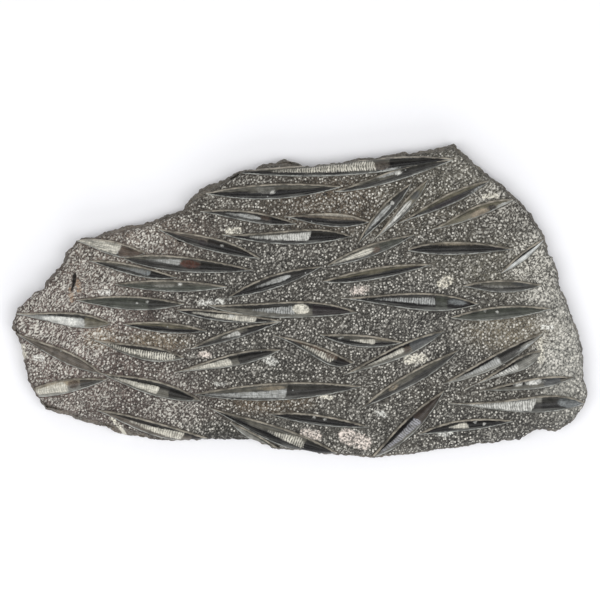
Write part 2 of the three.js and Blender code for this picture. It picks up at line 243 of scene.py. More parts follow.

# Spots of other stone inside the fossils, and some painted light: the sheen spots are painted
# reflections of the polish, and the long black band where two fossils meet is painted shade. In a
# row: X, Y, half length, half width, turn in degrees, tone
INLAYS = (
    (386, 173, 14, 3.4, 14, "silver"), (398, 173, 3.6, 2.2, 14, "white"),
    (266, 189.5, 9, 4.4, 0, "light"), (272, 192, 2.6, 2.2, 0, "white"),
    (265.5, 218, 5, 2.5, -8, "chamber_brown"), (328, 214.6, 26, 1.2, -3, "cream"),
    (338, 218, 21, 0.9, -3, "beige"), (381.5, 165.5, 8, 4.6, 3, "brown_grey"),
    (203, 243, 4.5, 3.2, -20, "violet"), (222, 246, 1.4, 1.2, 0, "white"),
    (190, 264, 10, 4.2, -4, "rust"), (166, 286, 12, 1.5, 0, "light"), (180, 284, 1.9, 1.4, 0, "white"),
    (137, 303, 1.3, 1.1, 0, "white"), (147, 302, 1.2, 1.0, 0, "white"),
    (73.5, 384, 6, 4, 8, "chamber_brown"), (64, 321.3, 20, 4.2, -6, "white"),
    (272, 387.5, 13, 2.6, 2, "beige"), (314, 417, 1.3, 1.1, 0, "white"),
    (325, 419, 1.3, 1.1, 0, "white"), (345, 418.5, 20, 2, -7, "bluegrey"),
    (330, 356, 4.5, 3, -20, "brown"), (340, 338, 1.2, 1, 0, "white"),
    (387, 338.5, 13, 2.3, -3, "beige"), (407, 349, 4, 3, 24, "chamber_brown"),
    (393, 387, 5, 3, 30, "beige"), (475, 422, 1.3, 1.1, 0, "white"), (484, 424, 1.3, 1.1, 0, "white"),
    # The sheen spot at the end of a fossil is a painted highlight; the long black band is painted shade
    # where two fossils meet.
    (570, 402, 13, 5.5, 0, "painted_sheen"), (504, 367.6, 37, 1.9, 27, "black"), (518, 384, 4, 2, 10, "white"),
    (534, 382, 9, 2.4, 8, "white"), (530, 345, 12, 1.6, 27, "silver"), (497, 312, 1.3, 1.1, 0, "white"),
    (485, 311, 1.2, 1, 0, "white"), (497, 286.5, 12, 1.5, 0, "light"),
    (522, 284, 10, 2.4, 0, "bluegrey"), (480, 213, 10, 3.8, 20, "tan"),
    (492, 208, 5, 2.8, 20, "violet"), (503, 204, 8, 1, 22, "silver"), (447, 203, 18, 3.6, 25, "violet"),
    (481, 187, 7, 1, 25, "silver"), (392, 203, 2, 2, 0, "white"), (415, 195, 5.5, 3.4, 48, "bluegrey"),
    (376, 250, 4, 3, 20, "brown"), (301, 309, 8, 5, -3, "cream"), (232, 316, 3, 1.6, -5, "white"),
    # The sheen spot here is a painted reflection of the polish.
    (457, 302, 9, 3, -3, "painted_sheen"), (450, 244, 22, 1.2, 0, "beige"),
)

# Tints of the ground between the fossils: X, Y, reach in X and in Y, and the tint
ZONES = (
    (75, 345, 95, 85, srgb(106, 91, 86)), (135, 245, 85, 35, srgb(114, 102, 93)),
    (240, 190, 60, 30, srgb(78, 73, 66)), (330, 205, 60, 22, srgb(90, 79, 66)),
    (230, 270, 90, 40, srgb(70, 68, 64)), (360, 325, 80, 35, srgb(78, 75, 70)),
    (495, 268, 55, 25, srgb(100, 97, 87)), (508, 330, 45, 14, srgb(122, 114, 98)),
    (568, 350, 26, 70, srgb(146, 146, 140)), (545, 270, 24, 40, srgb(108, 107, 101)),
    (500, 430, 90, 25, srgb(74, 73, 70)), (155, 341, 30, 8, srgb(120, 108, 90)),
    (100, 338, 14, 9, srgb(146, 126, 100)), (270, 402, 34, 10, srgb(94, 82, 67)),
    (420, 320, 60, 40, srgb(74, 73, 70)), (250, 340, 90, 40, srgb(72, 70, 66)),
    (420, 200, 60, 30, srgb(88, 84, 74)), (215, 434, 40, 12, srgb(66, 65, 60)),
    (330, 430, 90, 25, srgb(82, 80, 75)), (160, 405, 60, 30, srgb(84, 75, 71)),
    (465, 168, 30, 24, srgb(104, 101, 92)),
)
GROUND_TINT = srgb(80, 77, 71)
# A zone's say falls with its reach, within these limits, and with the square of the distance
ZONE_REACH = 200.0
ZONE_WEIGHTS = (1.4, 5.0)
ZONE_FALL = 1.6
GROUND_WEIGHT = 0.35

# Pale and dark patches of the ground: from X, Y to X, Y, half width and tone
PATCHES = (
    (228, 231, 239, 231, 3.6, "cream"), (200, 303, 222, 302, 2.2, "white"),
    (353, 291, 365, 289, 3.8, "pink"), (267, 359, 273, 362, 4.2, "white"),
    (201, 354, 208, 355, 3.0, "pink"), (197, 302, 230, 299, 0.7, "white"),
    (217, 384, 225, 384, 1.6, "white"), (321, 396, 330, 397, 2.2, "cream"),
    (305, 433, 317, 436, 4.6, "pink"), (346, 436, 364, 443, 7.5, "pink"),
    (408, 359, 422, 358, 4.8, "cream"), (378, 413, 385, 415, 2.4, "white"),
    (441, 285, 448, 280, 4.6, "yellow"), (542, 327, 551, 328, 2.4, "white"),
    (540, 340, 541, 361, 2.6, "cream"), (483, 197, 497, 196, 2.0, "cream"),
    (100, 293, 108, 293, 2.4, "white"), (22, 346, 24, 357, 2.6, "cream"),
    (36, 358, 42, 358, 2.8, "white"), (112, 418, 120, 427, 2.0, "cream"),
    (120, 427, 124, 435, 2.0, "cream"), (440, 434, 450, 433, 2.4, "white"),
    (214, 436, 248, 439, 5.0, "dark"), (77, 280, 79, 291, 1.8, "ochre"),
    (70, 290, 72, 300, 2.2, "ochre"),
)

# Holes and the wedge-shaped crack: from X, Y to X, Y and half width
PITS = (
    (74.5, 275, 74, 282, 1.9), (74, 282, 71.5, 291, 1.0),
    (179, 240, 181, 240, 2.0), (324, 194, 326, 194, 1.3),
)

# Where the chisel left strokes and not dots: X, Y, reach, direction in degrees, share of strokes
STROKES = (
    (60, 330, 60, 62, 0.5), (90, 290, 50, 40, 0.4), (75, 385, 50, 25, 0.22), (545, 268, 40, -52, 0.8),
    (130, 240, 35, 70, 0.25), (230, 190, 35, 65, 0.15), (500, 200, 40, 60, 0.25),
    (565, 345, 45, -60, 0.28), (170, 412, 45, 65, 0.2),
)
PLAIN_STROKE_SHARE = 0.1
# Turn that lays the strokes of the left and of the right half along X, and strokes per metre
# along and across them
STROKE_LEANS = (-0.95, 0.95)
STROKE_FINENESS = (230.0, 700.0, 300.0)

# Strips along the edge that the chisel left bare: from X, Y to X, Y and half width
BARE_STRIPS = (
    (352, 156, 450, 144, 5.5), (458, 146, 500, 179, 5.5), (572, 304, 587, 352, 3.2),
    (95, 235, 140, 224.5, 2.4), (140, 224.5, 185, 208.5, 2.4), (188, 201.5, 236, 172.5, 2.8),
    (42, 287, 66, 256, 2.0), (40, 408, 80, 422, 5.5), (80, 422, 145, 439, 5), (262, 161, 300, 161, 4.5),
    (13, 328, 24, 372, 2.5),
)

# The field of marks: distance of its rows as a share of the pitch, and how far a mark wanders
ROW_PITCH = 0.87
MARK_WANDER = 0.42
# How far the marks stay off a fossil, in millimetres
MARK_MARGIN = 1.3
# Half length and half width of a stroke and of a dot, least and most, in millimetres
STROKE_LONG, STROKE_SHORT = (1.2, 2.1), (0.45, 0.65)
DOT_LONG, DOT_SHORT = (0.55, 0.88), (0.45, 0.72)
# Brightness of the marks, what strokes have on top, and their depth, as shares of the full ones
MARK_BRIGHTNESS = (0.25, 1.0)
STROKE_GAIN = 0.4
MARK_DEPTHS = (0.5, 1.1)
# Cells per metre of the fine painted dots and of the pale specks, and the dots' sizes
DOT_CELLS = 325.0
DOT_SIZES = (0.43, 0.66)
SPECK_CELLS = 160.0

# The face's mesh: bend of the lattice and its wavelength, and how far inside a fossil's rim the
# ground is hidden, in millimetres, then how far a corner is pushed, as a share of the cell
LATTICE_DRIFT = (7.0, 31.0)
HIDDEN_GAP = 2.4
CELL_PUSH = 0.22

# Heights of the face, in millimetres: hollow under a fossil, worn edge and its reach, the share of
# it that a fossil takes, bare strips, holes, crumbs between the marks, and roughness
UNDER_FOSSIL = 1.8
EDGE_DROP = 4.4
EDGE_REACH = 5.5
FOSSIL_EDGE_DROP = 0.6
BARE_DROP = 1.4
PIT_DEPTH = 3.5
CRUMBS = (-0.1, 0.22)
FACE_ROUGHNESS = 0.25
BARE_ROUGHNESS = 0.9

# Parts of each side of the outline, how deep chips bite into the face's edge, and how far the
# broken sides swell, in millimetres
EDGE_PARTS = 8
EDGE_BITE = 1.1
SIDE_SWELL = 0.6
# Length of the chips in the edge, large and small, and size of the broken sides' facets
BITE_LENGTHS = (7.0, 2.5)
FACET_SIZE = (6.5, 5.0)

# Levels of the side's rows, as numbers of the wall's rings from the top down
SIDE_LEVELS = (2.97, 2.8, 2.6, 2.35, 2.1, 1.8, 1.5, 1.2, 0.9, 0.6, 0.3, 0.0)

# Rows of points across a fossil, from its lower to its upper rim, with a groove inside each rim
ACROSS_ROWS = (-1, -0.93, -0.84, -0.72, -0.5, -0.25, 0, 0.25, 0.5, 0.72, 0.84, 0.93, 1)
GROOVE_ROW = 0.84
# Length of a fossil's steps and the fewest of them, and how far its rim is nibbled and how often
STEP_LENGTH = 1.6
FEWEST_STEPS = 24
NIBBLE = (0.28, 5.0)
# The flank's rows below the rim: how far out they stand, and their height, in millimetres
FLANK_ROWS = ((0.45, -0.2), (0.0, -BURIED_DEPTH))

# Distance that stands for far outside, in millimetres
FAR_OUTSIDE = -50.0
# The cone's width at its start, as a share of the mouth's, how far the mouth of the cone and that
# of the body chamber bulge, in millimetres, and how much the cone's may slant
CONE_START = 0.16
MOUTH_BOW = 1.1
CHAMBER_BOW = 1.5
MOUTH_SLANT = 0.4
# The cone's walls: their distance, how far they bow and how far they wander, in millimetres
WALL_PITCH = 2.4
WALL_BOW = 1.6
WALL_DRIFT = 3.4
# Cones with weaker walls than this end in a point, over this many millimetres
SMOOTH_CONE = 0.22
TAPER = 11.0

# Streaks along the fossils, partly the stone's own grain and partly painted reflection of the
# polish: length and width, in millimetres, and the number of their own pattern
BROAD_STREAKS = (34.0, 3.2, 0.0)
THIN_STREAKS = (14.0, 0.8, 7.0)
# Width of the pale rim on the lower side, and what the upper side's has on top, as shares of it
LOWER_RIM = 0.45
UPPER_RIM_MORE = 0.62
# How strongly the chiselled and the polished stone mirror the lamps
CHISELLED_SHINE = 0.35
POLISHED_SHINE = 0.2

# Seeds of the random draws
GROUND_SEED = 11
FOSSIL_SEED = 5

# The lamps over the slab's middle: name, place, width and height, in metres
LAMPS = (
    ("right", (1.05, -0.55, 2.7), (1.4, 1.8)), ("left", (-1.05, -0.35, 2.7), (1.4, 1.8)),
    ("front", (0.4, -2.0, 1.25), (2.6, 1.4)), ("back", (-0.2, 1.9, 1.2), (2.6, 0.4)),
)
# Middle of the picture, in millimetres from the datum corner
PICTURE_MIDDLE = (300, 300)


class SlabSizes(bpy.types.PropertyGroup):
    """Sizes of the chisel's and the polish's marks."""

    mark_spacing: FloatProperty(
        name="Mark spacing", description="Distance between the chisel's marks",
        default=0.0027, unit="LENGTH")
    mark_depth: FloatProperty(
        name="Mark depth", description="Depth of a chisel mark", default=0.0009, unit="LENGTH")
    cell: FloatProperty(
        name="Cell", description="Size of the ground's facets", default=0.00135, unit="LENGTH")
    chip_depth: FloatProperty(
        name="Chip depth", description="How far chips go into the broken sides",
        default=0.0016, unit="LENGTH")
    groove_depth: FloatProperty(
        name="Groove depth", description="Depth of the line inside a fossil's rim",
        default=0.0003, unit="LENGTH")
    rim_width: FloatProperty(
        name="Rim width", description="Width of the pale rim round a fossil",
        default=0.0013, unit="LENGTH")


class SlabColours(bpy.types.PropertyGroup):
    """Colours that the whole stone shares."""

    mark: FloatVectorProperty(
        name="Chisel mark", description="Crushed stone in the chisel's marks",
        default=srgb(228, 225, 216), subtype="COLOR")
    upper_rim: FloatVectorProperty(
        name="Upper rim", description="Worn edge on a fossil's upper side",
        default=srgb(172, 165, 152), subtype="COLOR")
    lower_rim: FloatVectorProperty(
        name="Lower rim", description="Worn edge on a fossil's lower side",
        default=srgb(172, 174, 170), subtype="COLOR")
    # The break's colour is partly its own and partly painted light: it is made paler to stand in for light
    # that the lamps don't bring to the sides.
    side: FloatVectorProperty(
        name="Broken side", description="Fresh break along the slab's sides",
        default=srgb(120, 112, 100), subtype="COLOR")
    underside: FloatVectorProperty(
        name="Underside", description="Sawn lower face", default=srgb(96, 94, 90), subtype="COLOR")
    floor: FloatVectorProperty(
        name="Floor", description="Pale paper under the slab", default=(0.9, 0.903, 0.93),
        subtype="COLOR")


class StageSizes(bpy.types.PropertyGroup):
    """Camera and lights."""

    picture_width: FloatProperty(
        name="Picture width", description="Width of the view at the slab's face",
        default=0.6, unit="LENGTH")
    camera_height: FloatProperty(
        name="Camera height", description="Distance from the face to the camera",
        default=3.0, unit="LENGTH")
    floor_size: FloatProperty(
        name="Floor size", description="Side of the floor", default=6.0, unit="LENGTH")
    right_power: FloatProperty(name="Right power", description="Power of the right lamp", default=28.0)
    left_power: FloatProperty(name="Left power", description="Power of the left lamp", default=27.0)
    front_power: FloatProperty(name="Front power", description="Power of the front lamp", default=21.0)
    back_power: FloatProperty(name="Back power", description="Power of the back lamp", default=7.0)
    sky: FloatProperty(name="Sky", description="Strength of the even light around", default=0.43)


def to_slab(points):
    """Turns datum positions to the slab's own X and Y, in millimetres."""
    points = np.asarray(points, float)
    return np.stack((points[..., 0] - DATUM[0], DATUM[1] - points[..., 1]), -1)


OUTER = to_slab([row[:2] for row in OUTLINE])
LOW_CORNER, HIGH_CORNER = (np.array(corner.xy) / MM for corner in cad_box)
LEDGES = np.array([row[2] for row in OUTLINE], float)


def nearest_on_loop(loop, points):
    """For each point, its distance to a closed loop, the nearest place, and its number along it."""
    start = loop[None]
    run = np.roll(loop, -1, axis=0)[None] - start
    gaps, feet, numbers = [], [], []
    for some in np.array_split(points, max(1, len(points) // 2000)):
        offset = some[:, None] - start
        share = np.clip((offset * run).sum(-1) / (run * run).sum(-1), 0, 1)
        foot = start + share[..., None] * run
        gap = np.linalg.norm(some[:, None] - foot, axis=-1)
        best = gap.argmin(1)
        rows = np.arange(len(some))
        gaps.append(gap[rows, best])
        feet.append(foot[rows, best])
        numbers.append(best + share[rows, best])
    return np.concatenate(gaps), np.concatenate(feet), np.concatenate(numbers)


def inside_loop(loop, points):
    """Whether each point lies inside a closed loop."""
    after = np.roll(loop, -1, axis=0)
    x, y = points[:, :1], points[:, 1:]
    spans = (loop[None, :, 1] > y) != (after[None, :, 1] > y)
    rise = after[:, 1] - loop[:, 1]
    rise = np.where(np.abs(rise) < 1e-9, 1e-9, rise)
    cross = loop[:, 0] + (y - loop[:, 1]) * (after[:, 0] - loop[:, 0]) / rise
    return (spans & (x < cross)).sum(1) % 2 == 1


def smooth(values, low, high):
    """Eases from 0 at low to 1 at high."""
    share = np.clip((values - low) / (high - low), 0, 1)
    return share * share * (3 - 2 * share)


def ground_heights(points):
    """Height of the chiselled ground at each plan point, as in the solid."""
    x, y = points[:, 0], points[:, 1]
    broad = np.sin(x / 47 + 0.6) * np.cos(y / 38 - 0.4)
    tight = 0.5 * np.sin(x / 21 + y / 26 + 1.3)
    near = 1 - smooth(nearest_on_loop(OUTER, points)[0], 0, SHOULDER_REACH)
    return GROUND_HEIGHT + GROUND_WAVE * (broad + tight) - SHOULDER_DROP * near * near


def edge_drops(points):
    """How far the worn edge of the face drops at each plan point."""
    return EDGE_DROP * (1 - smooth(nearest_on_loop(FACE_EDGE, points)[0], 0, EDGE_REACH)) ** 2


def unevenness(seed):
    """Unevenness from 0 to 1, the same as in the solid."""
    return 0.5 + 0.5 * math.sin(seed * 12.9898 + 4.1414 * math.sin(seed * 2.17))


def wall_loops():
    """The rings of the broken side, each an array of X, Y and Z for every point of the outline."""
    along = np.roll(OUTER, -1, axis=0) - np.roll(OUTER, 1, axis=0)
    inward = np.stack((along[:, 1], -along[:, 0]), -1)
    inward /= np.linalg.norm(inward, axis=1)[:, None]
    loops = []
    for height, inset, ledge, rough, stagger, pattern in WALL_RINGS:
        uneven = np.array([unevenness(i + 31 * pattern) for i in range(len(OUTER))])
        shift = np.array([unevenness(2 * i + 17 * pattern) for i in range(len(OUTER))])
        reach = inset + ledge * LEDGES + rough * uneven
        plan = OUTER + inward * reach[:, None]
        lift = height + stagger * (shift - 0.5)
        loops.append(np.column_stack((plan, lift)))
    return np.array(loops), inward


WALLS, INWARD = wall_loops()


def wall_point(number, level):
    """Place on the broken side: number runs along the outline, level from the base to the top."""
    first = int(number) % len(OUTER)
    after = (first + 1) % len(OUTER)
    share = number - int(number)
    ring = min(int(level), len(WALLS) - 2)
    rise = level - ring
    low = WALLS[ring][first] * (1 - share) + WALLS[ring][after] * share
    high = WALLS[ring + 1][first] * (1 - share) + WALLS[ring + 1][after] * share
    inward = INWARD[first] * (1 - share) + INWARD[after] * share
    return low * (1 - rise) + high * rise, inward


FACE_EDGE = np.array([wall_point(i, FACE_LEVEL)[0][:2] for i in range(len(OUTER))])


class Spindle:
    """One fossil's plan: where a point lies along and across it."""

    def __init__(self, row):
        tail, mouth, self.upper, self.lower, self.up_tone, self.down_tone, self.cone, self.chamber = row
        self.tail_x, self.mouth_x = tail[0], mouth[0]
        self.tail = to_slab(tail)
        self.chord = to_slab(mouth) - self.tail
        self.length = float(np.hypot(*self.chord))
        self.ahead = self.chord / self.length
        self.left = np.array((-self.ahead[1], self.ahead[0]))
        self.full_half = (self.upper[0] + self.lower[0]) / 2
        self.crest = min(CREST_MOST, CREST_PER_HALF_WIDTH * self.full_half)
        self.mouth_slant = MOUTH_SLANT * math.sin(7 * self.tail_x)

    def share_at(self, datum_x):
        """Share of the length at a datum X."""
        return (datum_x - self.tail_x) / (self.mouth_x - self.tail_x)

    @staticmethod
    def bulge(share, side):
        """Width of one side at a share of the length."""
        skew = math.log(0.5) / math.log(side[1])
        return side[0] * np.sin(np.pi * np.clip(share, 0, 1) ** skew) ** BLUNTNESS

    def sides(self, share):
        """Upper and lower width at a share of the length."""
        return self.bulge(share, self.upper), self.bulge(share, self.lower)

    def gap(self, points):
        """How far each plan point lies inside the rim, less than 0 outside."""
        offset = points - self.tail
        share = offset @ self.ahead / self.length
        side = offset @ self.left
        up, down = self.sides(share)
        beyond = np.maximum(-share, share - 1) * self.length
        return np.where(beyond > 0, -np.hypot(beyond, side), np.minimum(up - side, side + down))


SPINDLES = [Spindle(row) for row in FOSSILS]


def fossil_gap(points):
    """How far each plan point lies inside the nearest fossil's rim, less than 0 outside."""
    return np.max([spindle.gap(points) for spindle in SPINDLES], axis=0)


def plan_of(verts):
    """X and Y of bmesh vertices as an array."""
    return np.array([vert.co.xy for vert in verts])


def fractal(place, reach):
    """Fractal noise from about -1 to 1, for a wavelength in millimetres."""
    return noise.fractal(Vector(place) / reach, 1.0, 2.0, 3)


def new_object(name, bm, materials):
    """Makes a mesh with its materials an object of the scene."""
    mesh = bpy.data.meshes.new(name)
    bm.to_mesh(mesh)
    bm.free()
    for material in materials:
        mesh.materials.append(material)
    made = bpy.data.objects.new(name, mesh)
    bpy.context.scene.collection.objects.link(made)
    return made


def new_piece(name, bm, materials):
    """Scales a millimetre mesh to metres and makes it a piece that rides on the stone's body."""
    bmesh.ops.scale(bm, vec=(MM, MM, MM), verts=bm.verts)
    piece = new_object(name, bm, materials)
    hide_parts(NODE)
    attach(piece, "root")


# The chiselled ground and the broken sides

def stroke_at(x, y):
    """Direction of the chisel's strokes at a place, and the share of marks that are strokes."""
    best, direction, share = 0.0, fractal((x, y, 3.0), 40.0) * 3.0, PLAIN_STROKE_SHARE
    for centre_x, centre_y, reach, degrees, amount in STROKES:
        centre = to_slab((centre_x, centre_y))
        weight = 1 - math.hypot(x - centre[0], y - centre[1]) / reach
        if weight > best:
            best = weight
            direction = math.radians(degrees) + 0.5 * fractal((x, y, 9.0), 14.0)
            share = amount
    return direction, share


def stroke_rule(points):
    """How much strokes rule over dots at each plan point, 0 to 1."""
    rule = np.zeros(len(points))
    for x, y, reach, _, amount in STROKES:
        gap = np.linalg.norm(points - to_slab((x, y)), axis=1)
        rule = np.maximum(rule, amount * (1 - smooth(gap, 0.3 * reach, 1.1 * reach)))
    return np.clip(2 * rule, 0, 1)


def capsule_reach(points, x0, y0, x1, y1, half):
    """How far each point lies inside a capsule round a line."""
    start, end = to_slab((x0, y0)), to_slab((x1, y1))
    run = end - start
    share = np.clip((points - start) @ run / (run @ run), 0, 1)
    return half - np.linalg.norm(points - start - share[:, None] * run, axis=1)


def bare_reach(points):
    """How far each point lies inside a strip that the chisel left bare."""
    return np.max([capsule_reach(points, *strip) for strip in BARE_STRIPS], axis=0)


def pit_reach(points):
    """How far each point lies inside a hole of the stone."""
    return np.max([capsule_reach(points, *pit) for pit in PITS], axis=0)


class ChiselMarks:
    """An uneven field of the chisel's pits and short strokes."""

    def __init__(self, pitch, depth, face_line, rng):
        self.pitch = np.array((pitch, pitch * ROW_PITCH))
        self.low = face_line.min(0) - 2 * pitch
        self.counts = np.ceil((face_line.max(0) - self.low) / self.pitch).astype(int) + 3
        columns, rows = np.meshgrid(*(np.arange(n) for n in self.counts), indexing="ij")
        wander = rng.uniform(-MARK_WANDER, MARK_WANDER, (*self.counts, 2))
        steps = np.stack((columns + 0.5 * (rows % 2), rows), -1)
        self.centres = self.low + (steps + wander) * self.pitch
        shape = tuple(self.counts)
        flat = self.centres.reshape(-1, 2)
        heading, share = (part.reshape(shape) for part in np.array([stroke_at(*c) for c in flat]).T)
        stroke = rng.random(shape) < share
        turn = np.where(stroke, heading + rng.normal(0, 0.25, shape), rng.uniform(0, np.pi, shape))
        self.ahead = np.stack((np.cos(turn), np.sin(turn)), -1)
        self.long = np.where(stroke, rng.uniform(*STROKE_LONG, shape), rng.uniform(*DOT_LONG, shape))
        self.short = np.where(stroke, rng.uniform(*STROKE_SHORT, shape), rng.uniform(*DOT_SHORT, shape))
        is_open = (fossil_gap(flat) < -MARK_MARGIN) & (bare_reach(flat) < 0) & (pit_reach(flat) < 0)
        is_open &= inside_loop(face_line, flat) & (nearest_on_loop(face_line, flat)[0] > 0.7)
        self.is_open = is_open.reshape(shape)
        bright = rng.uniform(*MARK_BRIGHTNESS, shape) + STROKE_GAIN * share
        self.bright = self.is_open * np.clip(bright, 0, 1.15)
        self.deep = self.is_open * rng.uniform(*MARK_DEPTHS, shape) * depth

    def read(self, points):
        """Brightness and depth of the marks at each plan point."""
        home = np.floor((points - self.low) / self.pitch).astype(int)
        bright, deep = np.zeros(len(points)), np.zeros(len(points))
        for across in range(-2, 3):
            for up in range(-2, 3):
                at = tuple(np.clip(home + (across, up), 0, self.counts - 1).T)
                offset = points - self.centres[at]
                ahead = (offset * self.ahead[at]).sum(1)
                side = offset[:, 0] * self.ahead[at][:, 1] - offset[:, 1] * self.ahead[at][:, 0]
                reach = np.hypot(ahead / self.long[at], side / self.short[at])
                bright = np.maximum(bright, self.bright[at] * (1 - smooth(reach, 0.35, 1.3)))
                deep = np.maximum(deep, self.deep[at] * np.clip(1 - reach * reach, 0, 1))
        return bright, deep


def ground_lattice(bm, spacing):
    """A lattice of cells over the whole slab, bent so that no row runs straight."""
    # Without a seed of its own the drift would change from run to run
    noise.seed_set(GROUND_SEED)
    low, high = OUTER.min(0) - spacing, OUTER.max(0) + spacing
    span = high - low
    counts = np.ceil(span / spacing).astype(int)
    bmesh.ops.create_grid(bm, x_segments=int(counts[0]), y_segments=int(counts[1]), size=0.5)
    middle = (low + high) / 2
    bmesh.ops.scale(bm, vec=(span[0], span[1], 1), verts=bm.verts)
    bmesh.ops.translate(bm, vec=(middle[0], middle[1], 0), verts=bm.verts)
    for vert in bm.verts:
        drift = noise.noise_vector(vert.co / LATTICE_DRIFT[1]) * LATTICE_DRIFT[0]
        vert.co += Vector((drift.x, drift.y, 0))


def trim_to_face(bm, face_line, spacing):
    """Removes what lies outside the face and makes the open ground's cells twice as fine."""
    plan = plan_of(bm.verts)
    gap, foot, _ = nearest_on_loop(face_line, plan)
    near = gap < 0.5 * spacing
    outside = ~inside_loop(face_line, plan) & ~near
    for vert, is_near, place in zip(bm.verts, near, foot):
        if is_near:
            vert.co.xy = place
    # Kept in order, so that every run gives the same mesh
    out = dict.fromkeys(vert for vert, is_out in zip(bm.verts, outside) if is_out)
    cut = [f for f in bm.faces if 0 < sum(v in out for v in f.verts) < len(f.verts)]
    bmesh.ops.triangulate(bm, faces=cut)
    bmesh.ops.delete(bm, geom=list(out), context="VERTS")
    least = 0.02 * spacing * spacing
    slivers = [f for f in bm.faces if f.calc_area() < least and any(e.is_boundary for e in f.edges)]
    bmesh.ops.delete(bm, geom=slivers, context="FACES")
    bmesh.ops.delete(bm, geom=[v for v in bm.verts if not v.link_faces], context="VERTS")
    seen = dict(zip(bm.verts, fossil_gap(plan_of(bm.verts)) < HIDDEN_GAP))
    edges = [e for e in bm.edges if e.is_boundary or seen[e.verts[0]] or seen[e.verts[1]]]
    bmesh.ops.subdivide_edges(bm, edges=edges, cuts=1, use_grid_fill=True)


def fit_to_marks(bm, marks, spacing, rng):
    """Makes the cells uneven and brings one corner to the middle of each mark."""
    inner = [v for v in bm.verts if not v.is_boundary]
    for vert, push in zip(inner, rng.uniform(-CELL_PUSH, CELL_PUSH, (len(inner), 2)) * spacing):
        vert.co.xy += Vector(push)
    tree = kdtree.KDTree(len(inner))
    for index, vert in enumerate(inner):
        tree.insert(vert.co, index)
    tree.balance()
    for centre in marks.centres[marks.is_open]:
        _, index, gap = tree.find((*centre, 0))
        if gap < 0.75 * spacing:
            inner[index].co.xy = centre


def next_ring(bm, edges):
    """Extrudes a ring of edges, and gives the edges and the corners of the new ring."""
    made = bmesh.ops.extrude_edge_only(bm, edges=edges)["geom"]
    edges = [e for e in made if isinstance(e, bmesh.types.BMEdge) and e.is_boundary]
    return edges, {v for e in edges for v in e.verts}


def raise_sides(bm, face_line, number, chip):
    """Extrudes the face's edge down the broken side and closes the flat underside."""
    edges = [e for e in bm.edges if e.is_boundary]
    rim = list(dict.fromkeys(v for e in edges for v in e.verts))
    _, foot, numbers = nearest_on_loop(face_line, plan_of(rim))
    for vert, place, at in zip(rim, foot, numbers / EDGE_PARTS):
        vert.co.xy = place
        vert[number] = at
    for level in SIDE_LEVELS:
        edges, corners = next_ring(bm, edges)
        for vert in corners:
            place, inward = wall_point(vert[number], level)
            rough = 0.5 + 1.1 * fractal((*place[:2], place[2] * 0.4), 5.0)
            across, up = FACET_SIZE
            facet = abs(noise.cell(Vector((place[0] / across, place[1] / across, place[2] / up))))
            depth = chip * (0.9 * min(max(0, rough), 1.2) + 0.4 * facet) - SIDE_SWELL
            vert.co.xy = np.clip(place[:2] + inward * depth, LOW_CORNER, HIGH_CORNER)
            vert.co.z = place[2] + (0.5 * fractal(place, 5.0) if level > 0 else 0)
    base = bmesh.ops.holes_fill(bm, edges=edges, sides=0)["faces"]
    return bmesh.ops.triangulate(bm, faces=base)["faces"]


def nearest_tone(points, spots, plain):
    """Signed distance inside the nearest of some toned spots, and that spot's tone."""
    best = np.full(len(points), FAR_OUTSIDE)
    tones = np.tile(np.array(TONES[plain]), (len(points), 1))
    for inside, tone in spots:
        better = inside > best
        best = np.where(better, inside, best)
        tones[better] = TONES[tone]
    return best, tones


def zone_tints(points):
    """Tint of the stone at each plan point, blended from the zones."""
    total = np.full((len(points), 1), GROUND_WEIGHT)
    tint = np.array(GROUND_TINT) * total
    for x, y, reach_x, reach_y, colour in ZONES:
        offset = (points - to_slab((x, y))) / (reach_x, reach_y)
        closeness = min(ZONE_WEIGHTS[1], max(ZONE_WEIGHTS[0], ZONE_REACH / (reach_x + reach_y)))
        weight = np.exp(-ZONE_FALL * (offset ** 2).sum(1))[:, None] * closeness
        tint = tint + weight * np.array(colour)
        total = total + weight
    return tint / total


def settle_ground(verts, marks, rng):
    """Gives the face its height: waves, pits, a worn edge and hollows under the fossils."""
    plan = plan_of(verts)
    heights = ground_heights(plan)
    bright, deep = marks.read(plan)
    heights -= deep
    heights += rng.uniform(*CRUMBS, len(plan)) * (1 - bright)
    heights -= UNDER_FOSSIL * smooth(fossil_gap(plan), 0.6, 2.6)
    heights -= edge_drops(plan)
    heights -= PIT_DEPTH * smooth(pit_reach(plan), -0.4, 1.6)
    bare = smooth(bare_reach(plan), -0.6, 1.6)
    for vert, height, lack in zip(verts, heights, bare):
        rough = fractal((vert.co.x, vert.co.y, 5.0), 9.0)
        vert.co.z = height + FACE_ROUGHNESS * rough - lack * (BARE_DROP + BARE_ROUGHNESS * rough)
    return bright


